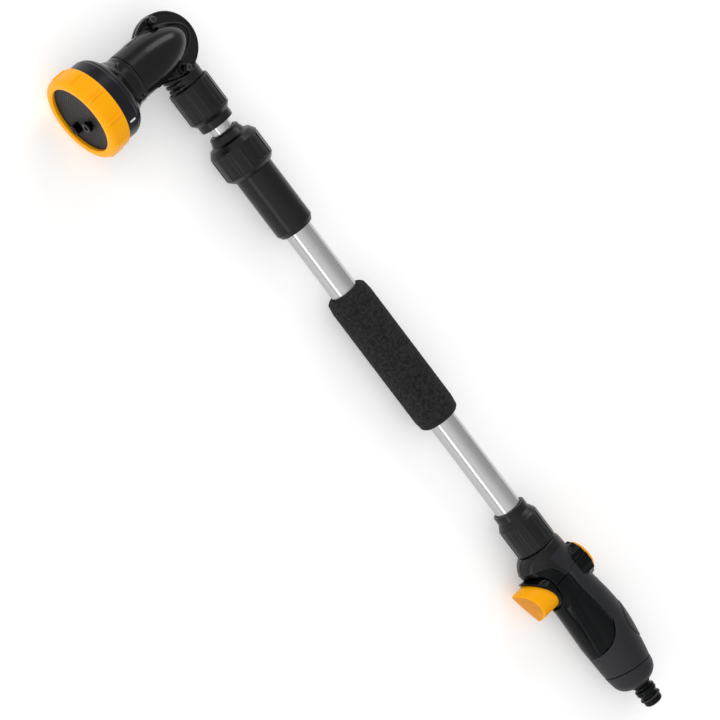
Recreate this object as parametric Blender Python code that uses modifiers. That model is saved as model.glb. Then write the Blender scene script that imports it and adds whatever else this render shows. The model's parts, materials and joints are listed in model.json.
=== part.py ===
"""Telescopic watering wand: a shower head that swings on an elbow, a twist-locked two-piece
aluminium lance, and a straight hand grip with a push-through valve and a hose nipple.

Wand axes: +X runs along the lance towards the head, +Y is the side that the head and the
front button point to, and +Z is the head's pivot axis. The wand lies on its side, so the
bezel, the lock nut and the grip all touch the plane that it rests on.
"""

import math

import bmesh
import bpy
from mathutils import Matrix, Vector

MM = 0.001
GAP = 0.3 * MM

# Round pieces
FINE_STEPS = 32
ROUND_STEPS = 20
SMALL_STEPS = 12
NUT_SIDES = 12

# Hose end and hand grip
NIPPLE_END = -357.5 * MM
CAP_SEAM = -321.0 * MM
CAP_TILT = math.radians(-9)
GRIP_FRONT = -199.9 * MM
HOUSING_SEAM = -227.5 * MM
SHELL_WALL = 2.4 * MM
SKIN = 1.6 * MM
SKIN_MIDDLE = -275.5 * MM
SKIN_TILT = math.radians(45)

# Push-through valve
VALVE_X = -230.5 * MM
FRONT_BUTTON_RADIUS = 14.6 * MM
FRONT_BUTTON_TOP = 39.7 * MM
COLLAR_RADIUS = 17.0 * MM
COLLAR_RIM = 24.8 * MM
COLLAR_TILT = math.radians(20)
REAR_BUTTON_RADIUS = 13.3 * MM
REAR_BUTTON_END = -26.2 * MM
REAR_BOSS_RADIUS = 15.6 * MM
REAR_BOSS_END = -23.8 * MM
VALVE_BORE = 8.0 * MM
BLOCK_RADIUS = 10.5 * MM

# Lance
OUTER_TUBE_RADIUS = 11.0 * MM
OUTER_TUBE_BORE = 10.0 * MM
OUTER_TUBE_START = -190.0 * MM
OUTER_TUBE_END = 165.0 * MM
INNER_TUBE_RADIUS = 8.7 * MM
INNER_TUBE_BORE = 7.7 * MM
INNER_TUBE_START = -95.0 * MM
INNER_TUBE_END = 243.0 * MM
FOAM_START = -74.4 * MM
FOAM_END = 49.5 * MM
FOAM_RADIUS = 17.75 * MM
HANDLE_NUT_RADIUS = 17.1 * MM
SLEEVE_START = 109.4 * MM
SLEEVE_RADIUS = 15.7 * MM
LOCK_NUT_RADIUS = 20.9 * MM
ELBOW_NUT_RADIUS = 17.25 * MM

# Head
PIVOT_X = 280.0 * MM
DISC_RADIUS = 25.6 * MM
DISC_TOP = 13.2 * MM
DISC_BOTTOM = 9.0 * MM
RETAINER_BOTTOM = 4.5 * MM
DRUM_RADIUS = 15.9 * MM
SHOWER_Z = 15.0 * MM
ARM_RADIUS = 20.2 * MM
ARM_END = 42.5 * MM
ARM_DOME_CENTRE = 27.0 * MM
ARM_DOME_LENGTH = 47.5 * MM
BELL_RADIUS = 33.3 * MM
BELL_END = 84.0 * MM
BEZEL_RADIUS = 36.0 * MM
BEZEL_BACK = 76.4 * MM
BEZEL_FRONT = 93.8 * MM
BEZEL_MOUTH = 29.4 * MM
SCREW_OFFSET = 22.0 * MM

# The wand's box, which places its origin at the middle of the bottom
BOX_CENTRE = Vector(
    (
        (NIPPLE_END + PIVOT_X + BEZEL_RADIUS) / 2,
        (REAR_BUTTON_END + BEZEL_FRONT) / 2,
        SHOWER_Z - BEZEL_RADIUS,
    )
)

AXIS_TURNS = {
    "X": Matrix.Rotation(math.radians(90), 4, "Y"),
    "Y": Matrix.Rotation(math.radians(-90), 4, "X"),
    "Z": Matrix.Identity(4),
}

# Hand grip sections: place along X, centre along Y, half height along Y, half width along Z
GRIP_SECTIONS = (
    (-199.9, 0.6, 16.9, 16.6),
    (-202.0, 1.6, 19.4, 17.6),
    (-206.0, 2.8, 21.4, 18.2),
    (-211.0, 3.5, 22.4, 18.5),
    (-219.0, 3.2, 21.6, 18.2),
    (-231.0, 1.9, 20.2, 17.8),
    (-243.0, 0.0, 21.2, 18.3),
    (-252.0, -1.3, 21.9, 19.0),
    (-264.7, -2.1, 22.9, 20.0),
    (-277.5, -2.3, 23.5, 20.7),
    (-290.3, -1.9, 23.3, 20.9),
    (-303.0, -1.2, 22.2, 20.4),
    (-316.0, -0.4, 20.8, 19.3),
    (-324.5, 0.0, 19.3, 18.2),
    (-330.2, 0.0, 18.0, 17.2),
    (-333.0, 0.0, 16.4, 15.8),
    (-335.2, 0.0, 14.0, 13.6),
    (-336.8, 0.0, 11.4, 11.2),
)


def clear_scene():
    for obj in list(bpy.data.objects):
        bpy.data.objects.remove(obj, do_unlink=True)


def new_collection(name):
    collection = bpy.data.collections.new(name)
    bpy.context.scene.collection.children.link(collection)
    return collection


def new_material(name, colour, roughness, metallic=0.0):
    material = bpy.data.materials.new(name)
    material.use_nodes = True
    shader = material.node_tree.nodes["Principled BSDF"]
    shader.inputs["Base Color"].default_value = (*colour, 1.0)
    shader.inputs["Roughness"].default_value = roughness
    shader.inputs["Metallic"].default_value = metallic
    material.diffuse_color = (*colour, 1.0)
    return material


def make_materials():
    return {
        "black": new_material("black_plastic", (0.016, 0.016, 0.018), 0.42),
        "gloss": new_material("gloss_black_plastic", (0.012, 0.013, 0.016), 0.2),
        "yellow": new_material("yellow_plastic", (0.95, 0.38, 0.01), 0.3),
        "grey": new_material("grey_plastic", (0.13, 0.13, 0.14), 0.45),
        "white": new_material("white_plastic", (0.85, 0.85, 0.85), 0.4),
        "inner": new_material("inner_plastic", (0.55, 0.55, 0.52), 0.5),
        "aluminium": new_material("aluminium", (0.62, 0.62, 0.63), 0.28, 1.0),
        "steel": new_material("steel", (0.5, 0.5, 0.52), 0.25, 1.0),
        "rubber": new_material("rubber", (0.012, 0.012, 0.012), 0.7),
        "soft": new_material("soft_grip_rubber", (0.025, 0.026, 0.032), 0.75),
        "foam": new_material("foam", (0.017, 0.016, 0.017), 0.95),
    }


class Wand:
    """The collections and materials, and the empties that the pieces hang from."""

    def __init__(self):
        self.pieces = new_collection("watering_wand")
        self.helpers = new_collection("cutters")
        self.materials = make_materials()
        self.frame = self.empty("wand_frame", -BOX_CENTRE, None)
        self.head = self.empty("head_pivot", (PIVOT_X, 0, 0), self.frame)
        self.shower = self.empty("shower_axis", (0, 0, SHOWER_Z), self.head)
        self.valve = self.empty("valve_axis", (VALVE_X, 0, 0), self.frame)

    def empty(self, name, place, parent):
        empty = bpy.data.objects.new(name, None)
        empty.location = place
        empty.parent = parent
        self.pieces.objects.link(empty)
        return empty

    def add(self, name, mesh, parent, material, axis="Z"):
        """A piece, or a cutter where material is None. Its own Z axis lies along the axis named."""
        obj = bpy.data.objects.new(name, mesh)
        obj.parent = parent
        obj.matrix_local = AXIS_TURNS[axis]
        if material is None:
            obj.hide_render = True
            obj.display_type = "WIRE"
            self.helpers.objects.link(obj)
            return obj
        mesh.materials.append(self.materials[material])
        mesh.shade_smooth()
        mesh.set_sharp_from_angle(angle=math.radians(35))
        self.pieces.objects.link(obj)
        return obj

    def turned(self, name, profile, parent, material, axis="X", steps=ROUND_STEPS, spin=0.0):
        """A turned piece from (place along the axis, radius) pairs in millimetres.

        A profile that never reaches the axis closes on itself, and makes a ring.
        """
        points = [Vector((radius * MM, 0, along * MM)) for along, radius in profile]
        closed = min(point.x for point in points) > 0
        area = sum(a.x * b.z - b.x * a.z for a, b in zip(points, points[1:] + points[:1]))
        if area > 0:
            points.reverse()
        mesh = bpy.data.meshes.new(name)
        edges = [(i, i + 1) for i in range(len(points) - 1)]
        if closed:
            edges.append((len(points) - 1, 0))
        mesh.from_pydata(points, edges, [])
        mesh.transform(Matrix.Rotation(spin, 4, "Z"))
        obj = self.add(name, mesh, parent, material, axis)
        screw = obj.modifiers.new("turn", "SCREW")
        screw.steps = steps
        screw.render_steps = steps
        screw.use_merge_vertices = True
        screw.merge_threshold = 1e-6
        screw.use_smooth_shade = True
        return obj

    def cylinder(self, name, radius, start, end, parent, material, axis="X", steps=ROUND_STEPS):
        """A solid cylinder between two places along its axis, in metres."""
        builder = bmesh.new()
        bmesh.ops.create_cone(
            builder,
            cap_ends=True,
            segments=steps,
            radius1=radius,
            radius2=radius,
            depth=end - start,
            matrix=Matrix.Translation((0, 0, (start + end) / 2)),
        )
        return self.add(name, finished_mesh(name, builder), parent, material, axis)

    def box(self, name, size, place, parent, material, turn=None):
        """A box whose centre is at place, turned about its own centre."""
        builder = bmesh.new()
        turn = turn or Matrix.Identity(4)
        matrix = Matrix.Translation(place) @ turn @ Matrix.Diagonal((*size, 1))
        bmesh.ops.create_cube(builder, size=1, matrix=matrix)
        return self.add(name, finished_mesh(name, builder), parent, material)

    def grip_loft(self, name, inset, material, first=0, last=None):
        """The hand grip's outer form, drawn in by inset, as one closed solid."""
        builder = bmesh.new()
        rings = []
        for along, centre, height, width in GRIP_SECTIONS[first:last]:
            ring = []
            for i in range(ROUND_STEPS):
                turn = 2 * math.pi * i / ROUND_STEPS
                y = centre * MM + (height * MM - inset) * math.cos(turn)
                z = (width * MM - inset) * math.sin(turn)
                ring.append(builder.verts.new((along * MM, y, z)))
            rings.append(ring)
        for near, far in zip(rings, rings[1:]):
            for i in range(ROUND_STEPS):
                j = (i + 1) % ROUND_STEPS
                builder.faces.new((near[i], near[j], far[j], far[i]))
        builder.faces.new(rings[0])
        builder.faces.new(rings[-1])
        bmesh.ops.recalc_face_normals(builder, faces=builder.faces)
        return self.add(name, finished_mesh(name, builder), self.frame, material)


def finished_mesh(name, builder):
    mesh = bpy.data.meshes.new(name)
    builder.to_mesh(mesh)
    builder.free()
    return mesh


def combine(obj, other, operation):
    modifier = obj.modifiers.new(f"{operation.lower()}_{other.name}", "BOOLEAN")
    modifier.operation = operation
    modifier.solver = "EXACT"
    modifier.object = other


def cut(obj, *cutters):
    for cutter in cutters:
        combine(obj, cutter, "DIFFERENCE")


def join(obj, *others):
    for other in others:
        combine(obj, other, "UNION")


def keep(obj, other):
    combine(obj, other, "INTERSECT")


def thread(start, end, crest, root, pitch):
    """Profile points of ring threads along an outer surface, from start to end, in millimetres."""
    points = []
    count = int(abs(end - start) / pitch)
    step = math.copysign(pitch, end - start)
    for i in range(count):
        base = start + step * i
        points += [
            (base + 0.15 * step, root),
            (base + 0.35 * step, crest),
            (base + 0.6 * step, crest),
            (base + 0.8 * step, root),
        ]
    return points


# Hose end


def make_hose_nipple(wand):
    profile = [
        (-322.5, 5.0),
        (-322.5, 12.6),
        (-326.0, 12.6),
        (-326.0, 8.2),
        (-338.8, 8.2),
        (-340.6, 7.0),
        (-342.2, 7.0),
        (-342.9, 8.55),
        (-346.9, 8.55),
        (-348.2, 7.5),
        (-350.3, 7.5),
        (-350.3, 6.5),
        (-353.2, 6.5),
        (-353.2, 7.5),
        (-356.8, 7.65),
        (-357.5, 7.2),
        (-357.5, 5.0),
    ]
    wand.turned("hose_nipple", profile, wand.frame, "black", steps=SMALL_STEPS)


def torus_profile(centre, radius, thickness, sides=4):
    """Points of a round section, for a ring made by turning it."""
    turns = [2 * math.pi * (i + 0.5) / sides for i in range(sides)]
    return [
        (centre + thickness * math.cos(turn), radius + thickness * math.sin(turn))
        for turn in turns
    ]


def make_inlet_parts(wand):
    wand.turned("nipple_o_ring", torus_profile(-351.75, 7.6, 1.0), wand.frame, "rubber",
                steps=SMALL_STEPS)
    seal = [(-320.4, 6.0), (-320.4, 10.6), (-322.2, 10.6), (-322.2, 6.0)]
    wand.turned("inlet_seal", seal, wand.frame, "rubber", steps=SMALL_STEPS)
    basket = [
        (-334.0, 0.0),
        (-332.6, 2.5),
        (-323.0, 3.6),
        (-323.0, 4.7),
        (-333.0, 3.6),
        (-335.5, 0.0),
    ]
    wand.turned("inlet_screen", basket, wand.frame, "steel", steps=16)


def make_end_cap(wand):
    cap = wand.grip_loft("end_cap", 0.0, "soft", first=12)
    turn = Matrix.Rotation(CAP_TILT, 4, "Z")
    span = 60 * MM
    front = wand.box(
        "end_cap_front", (span, 2 * span, 2 * span), (CAP_SEAM + span / 2, 0, 0),
        wand.frame, None, turn,
    )
    hollow = wand.cylinder(
        "end_cap_hollow", 14 * MM, -331.5 * MM, CAP_SEAM + 30 * MM, wand.frame, None
    )
    bore = wand.cylinder("end_cap_bore", 8.6 * MM, -345 * MM, -330 * MM, wand.frame, None)
    cut(cap, front, hollow, bore)


# Hand grip


def skin_cutter(wand, name, shift):
    """A large slab behind the slanted line where the soft grip starts."""
    turn = Matrix.Rotation(SKIN_TILT, 4, "Z")
    span = 120 * MM
    along = turn @ Vector((-span / 2, 0, 0))
    place = along + Vector((SKIN_MIDDLE + shift, 0, 0))
    return wand.box(name, (span, 2 * span, span), place, wand.frame, None, turn)


def cap_cutter(wand, name, shift):
    """A large slab behind the slanted seam of the end cap."""
    turn = Matrix.Rotation(CAP_TILT, 4, "Z")
    span = 60 * MM
    place = (CAP_SEAM - span / 2 - shift, 0, 0)
    return wand.box(name, (span, 2 * span, 2 * span), place, wand.frame, None, turn)


def make_soft_grip(wand):
    skin = wand.grip_loft("soft_grip", 0.0, "soft", first=4, last=15)
    keep(skin, skin_cutter(wand, "soft_grip_region", -GAP))
    cut(skin, cap_cutter(wand, "soft_grip_back", -GAP))
    cut(skin, wand.grip_loft("soft_grip_core", SKIN, None))


def handle_body(wand, name, first, last):
    """The hollow body of the hand grip, with a boss and a bore for each button."""
    body = wand.grip_loft(name, 0.0, "black", first=first, last=last)
    hollow = wand.grip_loft(f"{name}_hollow", SKIN + GAP + SHELL_WALL, None)
    front_wall = wand.cylinder(
        f"{name}_front_wall", 24 * MM, GRIP_FRONT - 3 * MM, GRIP_FRONT + 10 * MM, wand.frame, None
    )
    cut(hollow, front_wall)
    join(
        body,
        wand.cylinder(f"{name}_rear_boss", REAR_BOSS_RADIUS, REAR_BOSS_END, -5 * MM, wand.valve,
                      None, "Y"),
        wand.cylinder(f"{name}_front_boss", 19.2 * MM, 5 * MM, 17.5 * MM, wand.valve, None, "Y"),
    )
    cut(
        body,
        hollow,
        wand.cylinder(f"{name}_front_bore", COLLAR_RADIUS + GAP, 4 * MM, 40 * MM, wand.valve,
                      None, "Y"),
        wand.cylinder(f"{name}_rear_bore", REAR_BUTTON_RADIUS + GAP, -40 * MM, -4 * MM, wand.valve,
                      None, "Y"),
    )
    return body


def make_grip_shell(wand):
    shell = handle_body(wand, "grip_shell", 3, 15)
    outside = wand.grip_loft("grip_shell_skin_room", -3 * MM, None, first=4)
    cut(outside, wand.grip_loft("grip_shell_core", SKIN + GAP, None, first=3))
    keep(outside, skin_cutter(wand, "grip_shell_region", 0.0))
    front = wand.cylinder(
        "grip_shell_front", 50 * MM, HOUSING_SEAM - GAP, HOUSING_SEAM + 60 * MM, wand.frame, None
    )
    cut(shell, front, outside, cap_cutter(wand, "grip_shell_back", -GAP))


def make_valve_housing(wand):
    housing = handle_body(wand, "valve_housing", 0, 9)
    back = wand.cylinder(
        "housing_back", 50 * MM, HOUSING_SEAM - 80 * MM, HOUSING_SEAM, wand.frame, None
    )
    mouth = wand.cylinder("housing_mouth", 9.6 * MM, -215 * MM, -195 * MM, wand.frame, None)
    cut(housing, back, mouth)


# Valve


def make_valve_block(wand):
    block = wand.cylinder(
        "valve_block", BLOCK_RADIUS, -22 * MM, 14 * MM, wand.valve, "inner", "Y", SMALL_STEPS
    )
    inlet = [(-225, 0), (-225, 7.5), (-316.8, 7.5), (-316.8, 11), (-320, 11), (-320, 0)]
    outlet = [(-235, 0), (-235, 9.2), (-199.5, 9.2), (-199.5, 14.0), (-199.0, 14.0)]
    outlet += thread(-197.0, -181.0, 14.2, 13.0, 7.0)
    outlet += [(-180.0, 13.0), (-180.0, 0.0)]
    join(
        block,
        wand.turned("valve_inlet_pipe", inlet, wand.frame, None, steps=SMALL_STEPS),
        wand.turned("valve_outlet_stub", outlet, wand.frame, None, steps=SMALL_STEPS),
    )
    through = [(-330, 0), (-330, 5.5), (-214, 5.5), (-190.3, 9.0), (-190.3, 11.6),
               (-170, 11.6), (-170, 0)]
    cut(
        block,
        wand.turned("valve_passage", through, wand.frame, None, steps=SMALL_STEPS),
        wand.cylinder("valve_bore", VALVE_BORE, -30 * MM, 20 * MM, wand.valve, None, "Y",
                      SMALL_STEPS),
    )


def make_valve_spool(wand):
    profile = [(29.7, 0.0), (29.7, 3.6)]
    for middle in (10.5, -10.5):
        profile += [
            (middle + 3.0, 3.6),
            (middle + 3.0, 7.7),
            (middle + 1.1, 7.7),
            (middle + 1.1, 6.1),
            (middle - 1.1, 6.1),
            (middle - 1.1, 7.7),
            (middle - 3.0, 7.7),
            (middle - 3.0, 3.6),
        ]
    profile += [(-23.9, 3.6), (-23.9, 0.0)]
    wand.turned("valve_spool", profile, wand.valve, "inner", "Y", SMALL_STEPS)
    for name, middle in (("front", 10.5), ("rear", -10.5)):
        wand.turned(f"spool_o_ring_{name}", torus_profile(middle, 7.1, 0.75), wand.valve,
                    "rubber", "Y", SMALL_STEPS)


def make_front_button(wand):
    skirt = 17.6
    top = FRONT_BUTTON_TOP / MM + 4
    radius = FRONT_BUTTON_RADIUS / MM
    profile = [
        (top, 0.0),
        (top, radius),
        (skirt, radius),
        (skirt, 12.4),
        (31.0, 12.4),
        (31.0, 5.6),
        (21.0, 5.6),
        (21.0, 3.9),
        (30.0, 3.9),
        (30.0, 0.0),
    ]
    button = wand.turned("front_button", profile, wand.valve, "yellow", "Y")
    slope = math.radians(11)
    gable = math.radians(17)
    span = 60 * MM
    for side in (-1, 1):
        turn = Matrix.Rotation(slope, 4, "Z") @ Matrix.Rotation(-side * gable, 4, "X")
        place = Vector((0, FRONT_BUTTON_TOP, 0)) + turn @ Vector((0, span / 2, side * span / 4))
        cut(
            button,
            wand.box(
                f"front_button_slope_{'far' if side < 0 else 'near'}",
                (2 * span, span, span / 2 + 10 * MM), place, wand.valve, None, turn,
            ),
        )


def make_rear_button(wand):
    radius = REAR_BUTTON_RADIUS / MM
    end = REAR_BUTTON_END / MM
    profile = [
        (end, 0.0),
        (end, radius - 1.2),
        (end + 0.8, radius),
        (-12.0, radius),
        (-12.0, 11.2),
        (end + 2.0, 11.2),
        (end + 2.0, 0.0),
    ]
    wand.turned("rear_button", profile, wand.valve, "yellow", "Y")


def make_button_collar(wand):
    radius = COLLAR_RADIUS / MM
    profile = [(7.5, radius), (38.0, radius), (38.0, 15.0), (7.5, 15.0)]
    collar = wand.turned("button_collar", profile, wand.valve, "gloss", "Y")
    span = 80 * MM
    turn = Matrix.Rotation(COLLAR_TILT, 4, "Z")
    place = Vector((0, COLLAR_RIM, 0)) + turn @ Vector((0, span / 2, 0))
    cut(collar, wand.box("button_collar_rim", (span, span, span), place, wand.valve, None, turn))
    room = [(-245, 0), (-245, 9.6), (-190, 9.6), (-190, 0)]
    cut(collar, wand.turned("button_collar_neck_room", room, wand.frame, None, steps=SMALL_STEPS))


# Lance


def make_outer_tube(wand):
    start, end = OUTER_TUBE_START / MM, OUTER_TUBE_END / MM
    outer, bore = OUTER_TUBE_RADIUS / MM, OUTER_TUBE_BORE / MM
    profile = [(start, bore), (start, outer), (end, outer), (end, bore)]
    wand.turned("outer_tube", profile, wand.frame, "aluminium")


def make_foam_grip(wand):
    start, end, radius = FOAM_START / MM, FOAM_END / MM, FOAM_RADIUS / MM
    profile = [
        (start, 11.3),
        (start, 13.3),
        (start + 1.6, 15.6),
        (start + 4.5, 17.2),
        (start + 9.0, radius),
        (end - 9.0, radius),
        (end - 4.5, 17.2),
        (end - 1.6, 15.6),
        (end, 13.3),
        (end, 11.3),
    ]
    wand.turned("foam_grip", profile, wand.frame, "foam")


def make_handle_nut(wand):
    radius = HANDLE_NUT_RADIUS / MM
    profile = [
        (-162.5, 11.6),
        (-162.5, 13.2),
        (-163.2, 13.7),
        (-168.8, 13.7),
        (-174.4, radius),
        (-198.4, radius),
        (-199.4, radius - 0.8),
        (-199.4, 15.2),
        (-176.0, 15.2),
        (-171.0, 11.9),
    ]
    wand.turned("handle_nut", profile, wand.frame, "black", steps=NUT_SIDES)
    ferrule = [(-178.2, 11.6), (-178.2, 13.9), (-176.2, 13.9), (-173.0, 12.4), (-173.0, 11.6)]
    wand.turned("handle_ferrule", ferrule, wand.frame, "inner", steps=SMALL_STEPS)
    seal = [(-179.7, 11.6), (-179.7, 13.6), (-178.5, 13.6), (-178.5, 11.6)]
    wand.turned("handle_seal", seal, wand.frame, "rubber", steps=SMALL_STEPS)


def make_lock_sleeve(wand):
    radius = SLEEVE_RADIUS / MM
    start = SLEEVE_START / MM
    profile = [
        (start, 11.3),
        (start, 13.6),
        (start + 1.2, 15.0),
        (start + 3.8, radius),
        (165.0, radius),
        (165.0, 15.2),
    ]
    profile += thread(168.5, 183.0, 16.2, 15.0, 7.0)
    profile += [(187.0, 15.0), (187.0, 13.2), (175.0, 11.3), (167.6, 11.3)]
    wand.turned("lock_sleeve", profile, wand.frame, "black")


def make_guide_bush(wand):
    profile = [(150.0, 9.05), (150.0, 9.7), (165.3, 9.7), (165.3, 10.9), (167.2, 10.9),
               (167.2, 9.05)]
    wand.turned("guide_bush", profile, wand.frame, "inner", steps=SMALL_STEPS)


def make_lock_collet(wand):
    """A tapered ring with one slot, which closes on the inner tube."""
    profile = [(175.0, 9.0), (175.0, 10.7), (187.3, 12.7), (190.5, 12.7), (198.6, 10.6),
               (198.6, 9.0)]
    collet = wand.turned("lock_collet", profile, wand.frame, "inner", steps=SMALL_STEPS)
    slot = wand.box("lock_collet_slot", (40 * MM, 2 * MM, 10 * MM), (187 * MM, 0, 11 * MM),
                    wand.frame, None)
    cut(collet, slot)


def make_lock_nut(wand):
    radius = LOCK_NUT_RADIUS / MM
    profile = [
        (202.4, 9.5),
        (202.4, 11.3),
        (201.6, 12.3),
        (195.4, 14.9),
        (192.8, 19.2),
        (190.3, radius),
        (169.2, radius),
        (165.5, 17.1),
        (165.5, 16.9),
        (188.0, 16.9),
        (191.0, 13.5),
        (199.5, 11.3),
        (199.5, 9.5),
    ]
    wand.turned("lock_nut", profile, wand.frame, "black", steps=NUT_SIDES)


def make_inner_tube(wand):
    start, end = INNER_TUBE_START / MM, INNER_TUBE_END / MM
    outer, bore = INNER_TUBE_RADIUS / MM, INNER_TUBE_BORE / MM
    profile = [(start, bore), (start, outer), (end, outer), (end, bore)]
    wand.turned("inner_tube", profile, wand.frame, "aluminium", steps=SMALL_STEPS)


def make_piston(wand):
    """The plug on the inner tube's tail, which runs inside the outer tube."""
    start = INNER_TUBE_START / MM
    profile = [
        (start + 10, 5.5),
        (start + 10, 7.3),
        (start - 0.3, 7.3),
        (start - 0.3, 9.6),
        (start - 4.0, 9.6),
        (start - 4.0, 7.9),
        (start - 7.0, 7.9),
        (start - 7.0, 9.6),
        (start - 11.0, 9.6),
        (start - 11.0, 5.5),
    ]
    wand.turned("tube_piston", profile, wand.frame, "inner", steps=SMALL_STEPS)
    wand.turned("piston_o_ring", torus_profile(start - 5.5, 9.0, 0.75), wand.frame, "rubber",
                steps=SMALL_STEPS)


# Elbow


def make_elbow_nut(wand):
    radius = ELBOW_NUT_RADIUS / MM
    profile = [
        (246.0, 15.7),
        (246.0, radius - 0.6),
        (245.2, radius),
        (218.9, radius),
        (215.2, 13.8),
        (209.0, 13.7),
        (209.0, 9.6),
        (222.0, 9.6),
        (228.0, 12.6),
        (231.0, 15.7),
    ]
    wand.turned("elbow_nut", profile, wand.frame, "black", steps=NUT_SIDES)
    ferrule = [(224.5, 9.0), (224.5, 10.2), (228.2, 11.9), (232.0, 11.9), (232.0, 9.0)]
    wand.turned("elbow_ferrule", ferrule, wand.frame, "inner", steps=SMALL_STEPS)
    seal = [(232.3, 9.0), (232.3, 11.9), (234.2, 11.9), (234.2, 9.0)]
    wand.turned("elbow_seal", seal, wand.frame, "rubber", steps=SMALL_STEPS)


def make_elbow_housing(wand):
    drum = [(-17.0, 0.0), (-17.0, 12.5), (-13.0, DRUM_RADIUS / MM), (6.0, DRUM_RADIUS / MM),
            (6.0, 18.7), (8.4, 18.7), (8.4, 0.0)]
    housing = wand.turned("elbow_housing", drum, wand.head, "black", "Z")
    neck = [(275.0, 0.0), (275.0, 12.9)]
    neck += thread(258.6, 246.0, 15.0, 12.9, 3.9)
    neck += [(246.0, 14.6), (234.5, 14.6), (234.5, 0.0)]
    stub = wand.turned("elbow_neck", neck, wand.frame, None)
    swing = wand.cylinder(
        "elbow_swing_room", DISC_RADIUS + 4 * GAP, 4.2 * MM, 25 * MM, wand.head, None, "Z",
        FINE_STEPS,
    )
    cut(stub, swing)
    join(housing, stub)
    pocket = wand.cylinder("elbow_pocket", 11.6 * MM, -11 * MM, 20 * MM, wand.head, None, "Z")
    bore = [(230.0, 0.0), (230.0, 9.0), (243.3, 9.0), (243.3, 7.4), (256.0, 7.4), (256.0, 0.0)]
    passage = wand.turned("elbow_passage", bore, wand.frame, None, steps=SMALL_STEPS)
    low = wand.empty("elbow_low_passage", (0, 0, -4.2 * MM), wand.frame)
    duct = wand.cylinder("elbow_duct", 5.4 * MM, 254 * MM, 272 * MM, low, None)
    cut(housing, pocket, passage, duct)


# Head


def make_pivot_retainer(wand):
    profile = [
        (RETAINER_BOTTOM / MM, 16.3),
        (RETAINER_BOTTOM / MM, DISC_RADIUS / MM),
        (8.7, DISC_RADIUS / MM),
        (8.7, 19.1),
        (5.7, 19.1),
        (5.7, 16.3),
    ]
    retainer = wand.turned("pivot_retainer", profile, wand.head, "black", "Z")
    for side in (-1, 1):
        cut(retainer, screw_room(wand, "retainer", side, 1.5 * MM, 0, 12 * MM))


def screw_room(wand, name, side, radius, start, end):
    place = wand.empty(f"{name}_screw_place_{side}", (side * SCREW_OFFSET, 0, 0), wand.head)
    return wand.cylinder(f"{name}_screw_room_{side}", radius, start, end, place, None, "Z", 12)


def make_flange_screws(wand):
    """Two pan-head screws that hold the retainer to the head's disc."""
    profile = [(21.0, 0.0), (21.0, 1.6), (20.2, 2.6), (18.5, 2.7), (18.5, 1.2), (5.2, 1.2),
               (5.2, 0.0)]
    for name, side in (("head_end", 1), ("lance_end", -1)):
        place = wand.empty(f"flange_screw_place_{name}", (side * SCREW_OFFSET, 0, 0), wand.head)
        wand.turned(f"flange_screw_{name}", profile, place, "steel", "Z", 12)


def arm_blank(wand, name, radius, end, material):
    """A tube with one long domed end, lying along the shower axis."""
    start = ARM_DOME_CENTRE - ARM_DOME_LENGTH
    drawn_in = ARM_RADIUS - radius
    profile = []
    stops = 7
    for i in range(stops + 1):
        turn = math.pi / 2 * i / stops
        along = ARM_DOME_CENTRE - (ARM_DOME_LENGTH - drawn_in) * math.cos(turn)
        profile.append((along / MM, radius * math.sin(turn) / MM))
    profile[0] = ((start + drawn_in) / MM, 0.0)
    profile += [(end / MM, radius / MM), (end / MM, 0.0)]
    return wand.turned(name, profile, wand.shower, material, "Y")


def make_head_arm(wand):
    arm = arm_blank(wand, "head_arm", ARM_RADIUS, ARM_END, "black")
    under = wand.cylinder(
        "arm_under_disc", DISC_RADIUS + GAP, -40 * MM, DISC_BOTTOM + 1 * MM, wand.head, None, "Z",
        FINE_STEPS,
    )
    disc = wand.cylinder(
        "arm_disc", DISC_RADIUS, DISC_BOTTOM, DISC_TOP, wand.head, None, "Z", FINE_STEPS
    )
    spigot = wand.cylinder("arm_spigot", 11.2 * MM, -8 * MM, 12 * MM, wand.head, None, "Z")
    cut(arm, under)
    posts = []
    for side in (-1, 1):
        place = wand.empty(f"arm_post_place_{side}", (side * SCREW_OFFSET, 0, 0), wand.head)
        posts.append(
            wand.cylinder(f"arm_post_{side}", 3.2 * MM, 10 * MM, 18.2 * MM, place, None, "Z", 16)
        )
    join(arm, disc, spigot, *posts)
    hollow = arm_blank(wand, "arm_hollow", 17.5 * MM, ARM_END + 10 * MM, None)
    floor = wand.cylinder("arm_floor", 28.3 * MM, -40 * MM, 11.5 * MM, wand.head, None, "Z")
    cut(hollow, floor)
    bore = wand.cylinder("arm_bore", 8.5 * MM, -20 * MM, 14 * MM, wand.head, None, "Z")
    rooms = [screw_room(wand, "arm", side, 1.5 * MM, 0, 30 * MM) for side in (-1, 1)]
    groove = [(-5.0, 9.9), (-5.0, 13.0), (-3.0, 13.0), (-3.0, 9.9)]
    cut(arm, *rooms, hollow, bore, wand.turned("arm_o_ring_groove", groove, wand.head, None, "Z"))
    wand.turned("pivot_o_ring", torus_profile(-4.0, 10.75, 0.5), wand.head, "rubber", "Z",
                SMALL_STEPS)


def make_head_bell(wand):
    neck = ARM_RADIUS / MM
    rim = BELL_RADIUS / MM
    start = ARM_END / MM + 0.3
    profile = [
        (36.0, 15.2),
        (36.0, 17.2),
        (start, 17.2),
        (start, neck),
        (48.0, neck + 0.2),
        (52.5, neck + 1.8),
        (56.0, 25.0),
        (60.0, 30.4),
        (63.0, 32.6),
        (66.0, rim),
        (BELL_END / MM, rim),
        (BELL_END / MM, 31.0),
        (64.0, 30.0),
        (55.0, 21.0),
        (49.0, 17.0),
    ]
    wand.turned("head_bell", profile, wand.shower, "black", "Y")


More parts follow.
